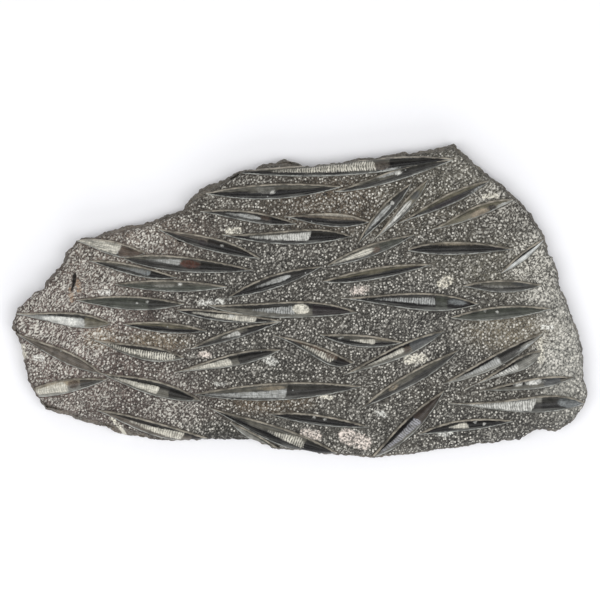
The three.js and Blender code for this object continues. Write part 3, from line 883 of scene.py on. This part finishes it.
def make_ground(sizes):
    """The stone's chiselled face, broken sides and sawn underside, as one closed mesh."""
    rng = np.random.default_rng(GROUND_SEED)
    spacing = sizes.cell / MM
    bm = bmesh.new()
    number = bm.verts.layers.float.new("along_side")
    face_line = ragged_line(FACE_EDGE)
    marks = ChiselMarks(sizes.mark_spacing / MM, sizes.mark_depth / MM, face_line, rng)
    ground_lattice(bm, 2 * spacing)
    trim_to_face(bm, FACE_EDGE, 2 * spacing)
    fit_to_marks(bm, marks, spacing, rng)
    face = set(bm.faces)
    face_verts = list(bm.verts)
    base = set(raise_sides(bm, face_line, number, sizes.chip_depth / MM))
    lacks = bare_reach(np.array([f.calc_center_median().xy for f in face])) > 0
    for f, lack in zip(face, lacks):
        f.material_index = int(lack)
    for f in bm.faces:
        if f not in face:
            f.material_index = 2 if f in base else 1
    bright = settle_ground(face_verts, marks, rng)
    turn_outward(bm)
    plan = plan_of(bm.verts)
    paint(bm, "tint", zone_tints(plan))
    patches = ((capsule_reach(plan, *line), tone) for *line, tone in PATCHES)
    reach, tones = nearest_tone(plan, patches, "cream")
    paint(bm, "patch_tone", tones)
    score(bm, "patch", reach)
    score(bm, "pit", pit_reach(plan))
    score(bm, "mark", np.concatenate((bright, np.zeros(len(plan) - len(bright)))))
    score(bm, "strokes", stroke_rule(plan))
    score(bm, "open_ground", smooth(-fossil_gap(plan), 0.3, 1.2) * smooth(-bare_reach(plan), 0, 1.5))
    return bm


def turn_outward(bm):
    """Turns the faces of every closed shell so that all of them look outward."""
    bmesh.ops.recalc_face_normals(bm, faces=bm.faces)
    waiting = set(bm.faces)
    while waiting:
        shell = [waiting.pop()]
        for face in shell:
            near = {other for edge in face.edges for other in edge.link_faces} & waiting
            waiting -= near
            shell.extend(near)
        volume = 0.0
        for face in shell:
            first, *others = (vert.co for vert in face.verts)
            volume += sum(first.dot(one.cross(two)) for one, two in zip(others, others[1:]))
        if volume < 0:
            bmesh.ops.reverse_faces(bm, faces=shell)


def ragged_line(coarse):
    """The edge of the face with small chips, as a fine loop."""
    after = np.roll(coarse, -1, axis=0)
    shares = np.linspace(0, 1, EDGE_PARTS, endpoint=False)[None, :, None]
    line = (coarse[:, None] * (1 - shares) + after[:, None] * shares).reshape(-1, 2)
    turned = np.roll(INWARD, -1, axis=0)
    inward = (INWARD[:, None] * (1 - shares) + turned[:, None] * shares).reshape(-1, 2)
    large, small = BITE_LENGTHS
    bites = [max(0, fractal((*spot, 1.0), large)) + 0.5 * fractal((*spot, 2.0), small) for spot in line]
    return line + inward * (EDGE_BITE * np.array(bites))[:, None]


def paint(bm, name, colours):
    """Stores a colour on every vertex."""
    layer = bm.verts.layers.float_color.new(name)
    for vert, colour in zip(bm.verts, colours):
        vert[layer] = (*colour, 1.0)


def score(bm, name, values):
    """Stores a number on every vertex."""
    layer = bm.verts.layers.float.new(name)
    for vert, value in zip(bm.verts, values):
        vert[layer] = value


# The polished fossils

# Numbers and colours that every corner of a fossil holds for its shape and its material
FLOAT_MARKS = (
    "along", "across", "side", "rim", "cone", "progress", "chamber", "walls", "relief", "flank")
COLOUR_MARKS = ("upper_tone", "lower_tone", "cone_tone", "chamber_tone")


def cone_reach(spindle, share, across, half):
    """Signed distance inside the chambered cone, in millimetres, and the share of its length."""
    if not spindle.cone:
        return FAR_OUTSIDE, 0.0
    start, end = (spindle.share_at(x) for x in spindle.cone[:2])
    low, high = spindle.cone[2:4]
    up, down = spindle.sides(end)
    full = (high - low) / 2 * max((up + down) / 2, 0.9 * spindle.full_half)
    progress = (share - start) / (end - start)
    middle = (low + high) / 2 * half
    opening = CONE_START + (1 - CONE_START) * min(max(progress, 0), 1.1)
    width = min(full * opening, (high - low) / 2 * half)
    offset = across * half - middle
    before = (share - start) * spindle.length
    bow = MOUTH_BOW * (1 - (offset / max(full, 0.5)) ** 2) + spindle.mouth_slant * offset
    mouth = (end - share) * spindle.length + bow
    if spindle.cone[5] < SMOOTH_CONE:
        width *= math.sqrt(min(1, max(0, mouth / TAPER)))
    return min(width - abs(offset), before, mouth), min(max(progress, 0), 1)


def chamber_reach(spindle, share, across):
    """Signed distance inside the body chamber, in millimetres."""
    if not spindle.chamber:
        return FAR_OUTSIDE
    start, end = (spindle.share_at(x) for x in spindle.chamber[:2])
    bow = CHAMBER_BOW * across * across
    before = (share - start) * spindle.length - bow
    after = (end - share) * spindle.length + bow
    return min(before, after)


def spindle_shell(bm, spindle, layers, rng, groove):
    """One fossil: an arched, polished top on a flank that goes down into the stone."""
    steps = max(FEWEST_STEPS, round(spindle.length / STEP_LENGTH))
    rows = len(ACROSS_ROWS) - 1
    made = bmesh.ops.create_grid(bm, x_segments=steps, y_segments=rows, size=0.5)["verts"]
    phase = rng.uniform(0, 50)
    for vert in made:
        share = vert.co.x + 0.5
        across = ACROSS_ROWS[round((vert.co.y + 0.5) * rows)]
        up, down = spindle.sides(share)
        nibble = NIBBLE[0] * noise.noise(Vector((share * spindle.length / NIBBLE[1], phase, across > 0)))
        half = max((up + down) / 2 + nibble * min(1, up), TIP_HALF_WIDTH)
        middle = (up - down) / 2
        place = spindle.tail + spindle.chord * share + spindle.left * (middle + across * half)
        fullness = min(1, half / (FULL_RELIEF_AT * spindle.full_half))
        arch = (1 - across * across) ** ARCH_POWER
        relief = (RIM_HEIGHT + spindle.crest * arch) * fullness + TIP_RISE * (1 - fullness)
        if abs(abs(across) - GROOVE_ROW) < 0.01:
            relief -= groove * fullness
        vert.co = (*place, 0)
        marks = (
            share * spindle.length, across, across * half, (1 - abs(across)) * half,
            *cone_reach(spindle, share, across, half), chamber_reach(spindle, share, across),
            spindle.cone[5] if spindle.cone else 0.0, relief, 0.0)
        for name, value in zip(FLOAT_MARKS, marks):
            vert[layers[name]] = value
        cone_tone = TONES[spindle.cone[4]] if spindle.cone else TONES["cream"]
        chamber_tone = TONES[spindle.chamber[2]] if spindle.chamber else TONES["black"]
        tones = (TONES[spindle.up_tone], TONES[spindle.down_tone], cone_tone, chamber_tone)
        for name, tone in zip(COLOUR_MARKS, tones):
            vert[layers[name]] = (*tone, 1.0)
    shell_faces = list(dict.fromkeys(f for v in made for f in v.link_faces))
    for f in shell_faces:
        f.smooth = True
    edges = [e for f in shell_faces for e in f.edges if e.is_boundary]
    for edge in edges:
        edge.smooth = False
    for spread, relief in FLANK_ROWS:
        edges, corners = next_ring(bm, edges)
        for vert in corners:
            side = 1 if vert[layers["across"]] > 0 else -1
            if abs(vert[layers["across"]]) > 0.99:
                vert.co.xy = Vector(vert.co.xy) + Vector(spindle.left * side * spread)
            vert[layers["relief"]] = min(relief, vert[layers["relief"]] - 0.2)
            vert[layers["flank"]] = 1.0
    bmesh.ops.holes_fill(bm, edges=edges, sides=0)


def inlay_reach(points, x, y, long, short, turn):
    """How far each point lies inside an inlay."""
    angle = math.radians(turn)
    offset = points - to_slab((x, y))
    ahead = offset @ (math.cos(angle), math.sin(angle))
    side = offset @ (-math.sin(angle), math.cos(angle))
    return (1 - np.hypot(ahead / long, side / short)) * short


def make_fossils(sizes):
    """All the fossils in one mesh, each a closed shell sunk in the ground."""
    rng = random.Random(FOSSIL_SEED)
    bm = bmesh.new()
    layers = {name: bm.verts.layers.float.new(name) for name in FLOAT_MARKS}
    layers.update({name: bm.verts.layers.float_color.new(name) for name in COLOUR_MARKS})
    for spindle in SPINDLES:
        spindle_shell(bm, spindle, layers, rng, sizes.groove_depth / MM)
    plan = plan_of(bm.verts)
    edge_places = nearest_on_loop(FACE_EDGE, plan)[1]
    for vert, is_in, place in zip(bm.verts, inside_loop(FACE_EDGE, plan), edge_places):
        if not is_in:
            vert.co.xy = place
    plan = plan_of(bm.verts)
    top = cad_box[1].z / MM
    for vert, height in zip(bm.verts, ground_heights(plan) - FOSSIL_EDGE_DROP * edge_drops(plan)):
        vert.co.z = min(height + vert[layers["relief"]], top)
    turn_outward(bm)
    inlays = ((inlay_reach(plan, *spot), tone) for *spot, tone in INLAYS)
    reach, tones = nearest_tone(plan, inlays, "white")
    paint(bm, "inlay_tone", tones)
    score(bm, "inlay", reach)
    return bm


# Shader helpers

class Graph:
    """Adds nodes to a node tree and links them."""

    def __init__(self, tree):
        self.tree = tree

    def feed(self, value, socket):
        """Links another node's result to a socket, or sets the socket's own value."""
        if isinstance(value, bpy.types.NodeSocket):
            self.tree.links.new(value, socket)
        else:
            socket.default_value = value

    def add(self, kind, inputs=None, **settings):
        """Adds a node, sets its options, and links or sets its inputs."""
        made = self.tree.nodes.new(kind)
        for name, value in settings.items():
            setattr(made, name, value)
        for key, value in (inputs or {}).items():
            self.feed(value, made.inputs[key])
        return made

    def math(self, operation, *values):
        """A math node's result."""
        return self.add("ShaderNodeMath", dict(enumerate(values)), operation=operation).outputs[0]

    def times(self, first, *others):
        """Values multiplied."""
        for other in others:
            first = self.math("MULTIPLY", first, other)
        return first

    def sway(self, value, middle, amount, start):
        """A value's distance from its middle, times an amount, on top of a start."""
        return self.math("MULTIPLY_ADD", self.math("SUBTRACT", value, middle), amount, start)

    def ease(self, value, low, high, start=0.0, end=1.0):
        """A value eased from start to end as it goes from low to high."""
        inputs = {"Value": value, "From Min": low, "From Max": high, "To Min": start, "To Max": end}
        made = self.add("ShaderNodeMapRange", inputs, interpolation_type="SMOOTHSTEP")
        return made.outputs["Result"]

    def mix(self, share, one, other):
        """Two colours mixed."""
        inputs = {0: share, 6: colour(one), 7: colour(other)}
        return self.add("ShaderNodeMix", inputs, data_type="RGBA").outputs[2]

    def scale(self, value, factor):
        """A colour made brighter or darker."""
        inputs = {0: colour(value, 3), "Scale": factor}
        return self.add("ShaderNodeVectorMath", inputs, operation="SCALE").outputs[0]

    def red(self, value):
        """A colour's first part."""
        return self.add("ShaderNodeSeparateColor", {0: value}).outputs[0]

    def noise(self, vector, scale, detail=2.0, roughness=0.5):
        """A noise value."""
        inputs = {"Vector": vector, "Scale": scale, "Detail": detail, "Roughness": roughness}
        return self.add("ShaderNodeTexNoise", inputs).outputs["Fac"]

    def cells(self, vector, scale):
        """Distance to the middle of an uneven cell, and the cell's own colour."""
        return self.add("ShaderNodeTexVoronoi", {"Vector": vector, "Scale": scale}).outputs

    def mark(self, name):
        """A number stored on the mesh."""
        return self.add("ShaderNodeAttribute", attribute_name=name).outputs["Fac"]

    def tone(self, name):
        """A colour stored on the mesh."""
        return self.add("ShaderNodeAttribute", attribute_name=name).outputs["Color"]

    def place(self):
        """Object coordinates."""
        return self.add("ShaderNodeTexCoord").outputs["Object"]

    def place_x(self):
        """Object coordinate X."""
        return self.add("ShaderNodeSeparateXYZ", {0: self.place()}).outputs[0]

    def use(self, tree, **inputs):
        """Places a node group, with an underscore for each space in a socket's name."""
        given = {name.replace("_", " "): value for name, value in inputs.items()}
        return self.add("ShaderNodeGroup", {"Vector": self.place(), **given}, node_tree=tree).outputs


def colour(value, parts=4):
    """Lets a plain colour be used on a socket of three or four parts."""
    if isinstance(value, bpy.types.NodeSocket):
        return value
    return (*value[:3], 1.0)[:parts]


def new_group(name, inputs, outputs):
    """A shader node group that reads a place, and its graph and end nodes."""
    tree = bpy.data.node_groups.new(name, "ShaderNodeTree")
    tree.interface.new_socket(name="Vector", in_out="INPUT", socket_type="NodeSocketVector")
    for socket, default in inputs.items():
        made = tree.interface.new_socket(name=socket, in_out="INPUT", socket_type="NodeSocketFloat")
        made.default_value = default
    for socket in outputs:
        tree.interface.new_socket(name=socket, in_out="OUTPUT", socket_type="NodeSocketFloat")
    graph = Graph(tree)
    return tree, graph, graph.add("NodeGroupInput").outputs, graph.add("NodeGroupOutput").inputs


def grain_group():
    """Mottling, fine grain and rare pale specks that every surface of the stone shares."""
    tree, graph, given, out = new_group(
        "Stone grain", {"Mottle Scale": 60.0, "Grain Scale": 1400.0}, ("Mottle", "Grain", "Speck"))
    cells = graph.cells(given["Vector"], SPECK_CELLS)
    keep = graph.math("GREATER_THAN", graph.red(cells["Color"]), 0.9)
    graph.feed(graph.noise(given["Vector"], given["Mottle Scale"], 5.0, 0.6), out["Mottle"])
    graph.feed(graph.noise(given["Vector"], given["Grain Scale"], 3.0, 0.65), out["Grain"])
    graph.feed(graph.times(graph.ease(cells["Distance"], 0.16, 0.08), keep), out["Speck"])
    return tree


def mask_group():
    """A mask with a ragged edge from a signed distance in millimetres."""
    sockets = {"Reach": 0.0, "Raggedness": 1.0, "Edge": 0.4, "Scale": 500.0}
    tree, graph, given, out = new_group("Ragged mask", sockets, ("Mask",))
    frayed = graph.sway(
        graph.noise(given["Vector"], given["Scale"], 3.0, 0.6), 0.5, given["Raggedness"], given["Reach"])
    graph.feed(graph.ease(frayed, graph.times(given["Edge"], -1.0), given["Edge"]), out["Mask"])
    return tree


def new_material(name):
    """An empty material with its graph and the inputs of its shader."""
    material = bpy.data.materials.new(name)
    material.use_nodes = True
    return material, Graph(material.node_tree), material.node_tree.nodes["Principled BSDF"].inputs


def finish(graph, shader, tone, roughness, relief, depth, strength):
    """Feeds a surface's colour, roughness and fine relief to its shader."""
    bump = graph.add("ShaderNodeBump", {"Height": relief, "Distance": depth, "Strength": strength})
    graph.feed(tone, shader["Base Color"])
    graph.feed(roughness, shader["Roughness"])
    graph.feed(bump.outputs[0], shader["Normal"])


def fine_strokes(graph, place):
    """Noise drawn out along the chisel's strokes, which lean one way on each half of the slab."""
    lean = graph.ease(graph.place_x(), -0.05, 0.05, *STROKE_LEANS)
    turned = graph.add("ShaderNodeVectorRotate", {"Vector": place, "Angle": lean}, rotation_type="Z_AXIS")
    drawn = graph.add(
        "ShaderNodeVectorMath", {0: turned.outputs[0], 1: STROKE_FINENESS}, operation="MULTIPLY")
    return graph.noise(drawn.outputs[0], 1.0, 2.0, 0.6)


def round_dots(graph, place, strokes):
    """The chisel's round dots, larger on paler stone and fainter where strokes rule."""
    cells = graph.cells(place, DOT_CELLS)
    size = graph.ease(graph.red(graph.tone("tint")), 0.08, 0.26, *DOT_SIZES)
    strength = graph.ease(graph.red(cells["Color"]), 0.0, 0.75, 0.34, 1.0)
    faint = graph.ease(strokes, 0.5, 1.0, 1.0, 0.45)
    return graph.times(graph.ease(cells["Distance"], size, 0.16), strength, faint)


def ground_material(grain, mask, colours):
    """Chiselled limestone: a dark tinted base, pale crushed marks, dust and calcite patches, and painted
    shade in the holes.
    """
    material, graph, shader = new_material("Chiselled limestone")
    place = graph.place()
    stone = graph.use(grain, Mottle_Scale=90.0, Grain_Scale=640.0)
    spread = graph.ease(stone["Mottle"], 0.3, 0.7, 0.55, 1.05)
    fine = graph.ease(stone["Grain"], 0.37, 0.63, 0.28, 1.55)
    base = graph.scale(graph.tone("tint"), graph.times(spread, fine))
    patch = graph.use(mask, Reach=graph.mark("patch"), Raggedness=8.0, Edge=1.0, Scale=250.0)["Mask"]
    cover = graph.ease(graph.noise(place, 420.0, 3.0), 0.42, 0.58, 0.15, 1.0)
    vein = graph.scale(graph.tone("patch_tone"), graph.ease(stone["Grain"], 0.36, 0.62, 0.55, 1.3))
    base = graph.mix(graph.times(patch, cover), base, vein)
    strokes = graph.mark("strokes")
    crushed = graph.sway(graph.noise(place, 760.0, 3.0, 0.6), 0.5, 1.9, graph.mark("mark"))
    share = graph.times(graph.ease(crushed, 0.12, 0.85), graph.ease(strokes, 0.0, 0.6, 0.45, 0.95))
    uneven = graph.ease(graph.noise(place, 170.0, 2.0), 0.36, 0.62, 0.25, 1.0)
    scratches = graph.times(graph.ease(fine_strokes(graph, place), 0.52, 0.64), strokes, uneven)
    share = graph.math("MAXIMUM", share, scratches)
    share = graph.math("MAXIMUM", share, round_dots(graph, place, strokes))
    broad = graph.ease(graph.noise(place, 28.0, 3.0, 0.6), 0.3, 0.7, 0.77, 1.0)
    share = graph.times(share, graph.mark("open_ground"), broad)
    crushed_tone = graph.mix(graph.times(patch, 0.6), colours.mark, graph.tone("patch_tone"))
    base = graph.mix(share, base, crushed_tone)
    # Painted shade darkens the holes and the crack.
    painted_pit_shade = graph.use(mask, Reach=graph.mark("pit"), Raggedness=2.4, Edge=0.7, Scale=300.0)["Mask"]
    base = graph.mix(graph.times(painted_pit_shade, 0.9), base, TONES["pit"])
    shader["Specular IOR Level"].default_value = CHISELLED_SHINE
    worn = graph.ease(stone["Grain"], 0.2, 0.8, 0.72, 0.92)
    finish(graph, shader, base, worn, stone["Grain"], 0.0007, 0.7)
    return material


def side_material(grain, mask, colours):
    """Broken limestone of the sides, with brown weathering and paler fresh chips, on a colour made paler
    as painted light.
    """
    material, graph, shader = new_material("Broken limestone")
    place = graph.place()
    stone = graph.use(grain, Mottle_Scale=70.0, Grain_Scale=600.0)
    spread = graph.ease(stone["Mottle"], 0.3, 0.7, 0.55, 1.25)
    fine = graph.ease(stone["Grain"], 0.35, 0.65, 0.5, 1.5)
    base = graph.scale(graph.mix(0.5, graph.tone("tint"), colours.side), graph.times(spread, fine))
    rust = graph.ease(graph.noise(place, 38.0, 4.0, 0.6), 0.56, 0.72, 0.0, 0.45)
    base = graph.mix(rust, base, TONES["brown"])
    chips = graph.ease(graph.noise(place, 300.0, 4.0, 0.7), 0.48, 0.62, 0.0, 0.75)
    base = graph.mix(chips, base, TONES["light"])
    patch = graph.use(mask, Reach=graph.mark("patch"), Raggedness=4.0, Edge=0.7, Scale=260.0)["Mask"]
    base = graph.mix(graph.times(patch, 0.7), base, graph.tone("patch_tone"))
    relief = graph.math("ADD", graph.noise(place, 180.0, 5.0, 0.65), stone["Grain"])
    worn = graph.ease(stone["Grain"], 0.2, 0.8, 0.65, 0.9)
    finish(graph, shader, base, worn, relief, 0.0012, 0.8)
    return material


def underside_material(grain, colours):
    """Sawn limestone of the underside, with faint parallel saw marks and dust."""
    material, graph, shader = new_material("Sawn limestone")
    stone = graph.use(grain, Mottle_Scale=30.0, Grain_Scale=1200.0)
    saw = {"Vector": graph.place(), "Scale": 55.0, "Distortion": 1.5, "Detail": 2.0}
    bands = graph.add("ShaderNodeTexWave", saw).outputs["Fac"]
    spread = graph.ease(stone["Mottle"], 0.3, 0.7, 0.75, 1.2)
    fine = graph.ease(stone["Grain"], 0.2, 0.8, 0.8, 1.2)
    base = graph.scale(colours.underside, graph.times(spread, fine))
    base = graph.mix(graph.times(bands, 0.12), base, TONES["light"])
    base = graph.mix(graph.times(stone["Speck"], 0.5), base, TONES["silver"])
    worn = graph.ease(stone["Grain"], 0.2, 0.8, 0.6, 0.8)
    finish(graph, shader, base, worn, graph.math("ADD", bands, stone["Grain"]), 0.0003, 0.5)
    return material


def streaks(graph, reach, width, seed):
    """Noise drawn out along the fossil, for a wavelength along and one across in millimetres."""
    vector = graph.add("ShaderNodeCombineXYZ", {
        0: graph.math("DIVIDE", graph.mark("along"), reach),
        1: graph.math("DIVIDE", graph.mark("side"), width), 2: graph.math("ADD", graph.place_x(), seed)})
    return graph.noise(vector.outputs[0], 1.0, 3.0, 0.6)


def shell_walls(graph, place, across, strength):
    """Dark lines between the chambers of the cone, and each chamber's own brightness."""
    bow = graph.times(across, across, WALL_BOW)
    drift = graph.times(graph.noise(place, 160.0, 2.0), WALL_DRIFT)
    along = graph.math("ADD", graph.math("SUBTRACT", graph.mark("along"), bow), drift)
    steps = graph.math("DIVIDE", along, WALL_PITCH)
    line = graph.math("ABSOLUTE", graph.math("SUBTRACT", graph.math("FRACT", steps), 0.5))
    thick = graph.ease(graph.noise(place, 420.0, 2.0), 0.3, 0.7, 0.08, 0.34)
    dark = graph.ease(graph.math("ADD", line, thick), 0.38, 0.62)
    chamber = graph.add(
        "ShaderNodeTexWhiteNoise", {"W": graph.math("FLOOR", steps)}, noise_dimensions="1D")
    shade = graph.times(graph.math("SUBTRACT", chamber.outputs["Value"], 0.8), 0.4)
    return graph.times(dark, strength), graph.math("MULTIPLY_ADD", shade, strength, 1.0)


def cone_shell(graph, place, across, stone, thin):
    """Tone of the chambered cone: its walls, pale wisps, and a darker pointed end."""
    strength = graph.mark("walls")
    walls, own = shell_walls(graph, place, across, strength)
    shell = graph.mix(graph.times(walls, 0.85), graph.tone("cone_tone"), TONES["dark"])
    wisps = graph.times(graph.ease(thin, 0.44, 0.58), graph.ease(strength, 0.1, 0.7, 0.85, 0.15))
    shell = graph.mix(wisps, shell, TONES["light"])
    shell = graph.scale(shell, graph.times(own, graph.ease(stone["Grain"], 0.2, 0.8, 0.8, 1.15)))
    return graph.scale(shell, graph.ease(graph.mark("progress"), 0.0, 0.55, 0.55, 1.0))


def rim_lines(graph, place, across, broad, base, colours, rim_mm):
    """Lays a painted shade line inside the upper rim and the pale worn rims over the fossil's colour."""
    upper = graph.ease(across, -0.1, 0.1)
    # Painted shade: a dark line inside the upper rim, along the groove.
    beside = graph.math("ABSOLUTE", graph.math("SUBTRACT", graph.mark("rim"), rim_mm + 0.9))
    dark = graph.times(graph.ease(beside, 0.9, 0.2), graph.ease(broad, 0.4, 0.6), 0.65, upper)
    base = graph.mix(dark, base, TONES["black"])
    tone = graph.mix(upper, colours.lower_rim, colours.upper_rim)
    tone = graph.scale(tone, graph.ease(graph.noise(place, 110.0, 4.0, 0.65), 0.32, 0.66, 0.35, 1.2))
    frayed = graph.sway(graph.noise(place, 420.0, 3.0), 0.5, 1.4, graph.mark("rim"))
    width = graph.math("MULTIPLY_ADD", upper, UPPER_RIM_MORE * rim_mm, LOWER_RIM * rim_mm)
    rim = graph.ease(graph.math("SUBTRACT", width, frayed), -0.45, 0.45)
    return graph.mix(graph.times(rim, 0.9), base, tone), rim


def fossil_material(grain, mask, colours, sizes):
    """Polished fossil stone: flanks, body chamber, chambered cone, inlays and pale rims, with painted
    sheen on the flanks and a painted shade line inside the upper rim.
    """
    material, graph, shader = new_material("Polished fossil")
    place = graph.place()
    stone = graph.use(grain, Mottle_Scale=140.0, Grain_Scale=1800.0)
    across = graph.mark("across")
    broad, thin = streaks(graph, *BROAD_STREAKS), streaks(graph, *THIN_STREAKS)
    # The lower and the upper flank tone meet along the crest. They are partly the stone's colour and
    # partly painted reflection, paler on the upper flank.
    lean = graph.sway(graph.math("ADD", broad, graph.times(thin, 0.4)), 0.7, 1.1, across)
    base = graph.mix(graph.ease(lean, -0.05, 0.3), graph.tone("lower_tone"), graph.tone("upper_tone"))
    chamber = graph.use(mask, Reach=graph.mark("chamber"), Raggedness=3.0, Edge=1.0, Scale=380.0)["Mask"]
    base = graph.mix(graph.times(chamber, 0.85), base, graph.tone("chamber_tone"))
    base = graph.scale(base, graph.times(
        graph.ease(stone["Mottle"], 0.3, 0.7, 0.7, 1.35), graph.ease(thin, 0.3, 0.7, 0.75, 1.25),
        graph.ease(stone["Grain"], 0.2, 0.8, 0.85, 1.2)))
    # Painted sheen: the outer parts of both flanks are made paler along the broad streaks.
    outer = graph.ease(graph.math("ABSOLUTE", across), 0.42, 0.72)
    painted_flank_sheen = graph.times(outer, graph.ease(broad, 0.42, 0.62), 0.36)
    base = graph.mix(painted_flank_sheen, base, graph.scale(TONES["painted_flank_sheen"], graph.ease(thin, 0.3, 0.7, 0.7, 1.05)))
    frayed = graph.sway(thin, 0.5, 3.0, graph.mark("cone"))
    cone = graph.use(mask, Reach=frayed, Raggedness=2.4, Edge=0.8, Scale=380.0)["Mask"]
    faded = graph.ease(graph.noise(place, 260.0, 3.0), 0.33, 0.56, 0.5, 0.97)
    base = graph.mix(graph.times(cone, faded), base, cone_shell(graph, place, across, stone, thin))
    inlay = graph.use(mask, Reach=graph.mark("inlay"), Raggedness=3.0, Edge=0.9, Scale=480.0)["Mask"]
    blotch = graph.times(
        graph.ease(thin, 0.35, 0.65, 0.75, 1.1), graph.ease(stone["Mottle"], 0.35, 0.65, 0.7, 1.2))
    speckle = graph.ease(graph.noise(place, 560.0, 3.0, 0.6), 0.36, 0.56, 0.5, 0.9)
    base = graph.mix(graph.times(inlay, speckle), base, graph.scale(graph.tone("inlay_tone"), blotch))
    base = graph.mix(graph.times(stone["Speck"], 0.5), base, TONES["silver"])
    base, rim = rim_lines(graph, place, across, broad, base, colours, sizes.rim_width / MM)
    buried = graph.scale(colours.side, graph.ease(stone["Mottle"], 0.3, 0.7, 0.5, 1.1))
    base = graph.mix(graph.ease(graph.mark("flank"), 0.35, 0.9), base, buried)
    polish = graph.ease(graph.noise(place, 300.0, 3.0), 0.3, 0.7, 0.16, 0.32)
    worn = graph.math("MAXIMUM", polish, graph.times(rim, 0.6))
    shader["Specular IOR Level"].default_value = POLISHED_SHINE
    finish(graph, shader, base, worn, graph.math("ADD", stone["Grain"], thin), 0.00018, 0.4)
    return material


def floor_material(colours):
    """Plain pale paper."""
    material, _, shader = new_material("Pale paper")
    shader["Base Color"].default_value = (*colours.floor, 1.0)
    shader["Roughness"].default_value = 0.9
    return material


class SLAB_OT_ground(bpy.types.Operator):
    """Models the chiselled face, the broken sides and the underside"""

    bl_idname = "slab.ground"
    bl_label = "Chiselled ground"

    def execute(self, context):
        grain, mask = grain_group(), mask_group()
        colours = context.scene.slab_colours
        materials = (
            ground_material(grain, mask, colours),
            side_material(grain, mask, colours),
            underside_material(grain, colours),
        )
        new_piece("chiselled_ground", make_ground(context.scene.slab_sizes), materials)
        return {"FINISHED"}


class SLAB_OT_fossils(bpy.types.Operator):
    """Models the polished fossils in the ground"""

    bl_idname = "slab.fossils"
    bl_label = "Polished fossils"

    def execute(self, context):
        grain = bpy.data.node_groups["Stone grain"]
        mask = bpy.data.node_groups["Ragged mask"]
        sizes = context.scene.slab_sizes
        material = fossil_material(grain, mask, context.scene.slab_colours, sizes)
        new_piece("polished_fossils", make_fossils(sizes), (material,))
        return {"FINISHED"}


def add_lamp(name, place, size, power):
    """A soft area lamp that faces the slab's middle."""
    data = bpy.data.lights.new(name, "AREA")
    data.shape = "RECTANGLE"
    data.size, data.size_y = size
    data.energy = power
    lamp = bpy.data.objects.new(name, data)
    lamp.location = place
    lamp.rotation_euler = (-Vector(place)).to_track_quat("-Z", "Y").to_euler()
    bpy.context.scene.collection.objects.link(lamp)


class SLAB_OT_stage(bpy.types.Operator):
    """Sets the pale floor, the soft lights and the camera straight above"""

    bl_idname = "slab.stage"
    bl_label = "Stage"

    def execute(self, context):
        scene = context.scene
        stage = scene.slab_stage
        bm = bmesh.new()
        bmesh.ops.create_grid(bm, x_segments=1, y_segments=1, size=stage.floor_size / 2)
        floor = new_object("floor", bm, (floor_material(scene.slab_colours),))
        for name, place, size in LAMPS:
            add_lamp(name, place, size, getattr(stage, name + "_power"))
        world = bpy.data.worlds.new("Soft room")
        world.use_nodes = True
        sky = world.node_tree.nodes["Background"].inputs
        sky["Color"].default_value = (1.0, 1.0, 1.0, 1.0)
        sky["Strength"].default_value = stage.sky
        scene.world = world
        scene.view_settings.view_transform = "Standard"
        data = bpy.data.cameras.new("camera")
        data.lens = data.sensor_width * stage.camera_height / stage.picture_width
        data.clip_end = 20.0
        camera = bpy.data.objects.new("camera", data)
        camera.location = (*to_slab(PICTURE_MIDDLE) * MM, GROUND_HEIGHT * MM + stage.camera_height)
        scene.collection.objects.link(camera)
        scene.camera = camera
        return {"FINISHED"}


class SLAB_PT_panel(bpy.types.Panel):
    """Lists the slab's pieces and its settings"""

    bl_label = "Fossil slab"
    bl_idname = "SLAB_PT_panel"
    bl_space_type = "VIEW_3D"
    bl_region_type = "UI"
    bl_category = "Fossil slab"

    def draw(self, context):
        for group in (context.scene.slab_sizes, context.scene.slab_colours, context.scene.slab_stage):
            for name in group.__annotations__:
                self.layout.prop(group, name)
        for operator in (SLAB_OT_ground, SLAB_OT_fossils, SLAB_OT_stage):
            self.layout.operator(operator.bl_idname)


CLASSES = (
    SlabSizes, SlabColours, StageSizes, SLAB_OT_ground, SLAB_OT_fossils, SLAB_OT_stage, SLAB_PT_panel)


def register():
    """Registers the classes and their settings."""
    for kind in CLASSES:
        bpy.utils.register_class(kind)
    bpy.types.Scene.slab_sizes = PointerProperty(type=SlabSizes)
    bpy.types.Scene.slab_colours = PointerProperty(type=SlabColours)
    bpy.types.Scene.slab_stage = PointerProperty(type=StageSizes)


def unregister():
    """Removes the settings and the classes."""
    del bpy.types.Scene.slab_stage
    del bpy.types.Scene.slab_colours
    del bpy.types.Scene.slab_sizes
    for kind in reversed(CLASSES):
        bpy.utils.unregister_class(kind)


def main():
    """Builds every piece and the stage."""
    register()
    bpy.ops.slab.ground()
    bpy.ops.slab.fossils()
    bpy.ops.slab.stage()


if __name__ == "__main__":
    main()
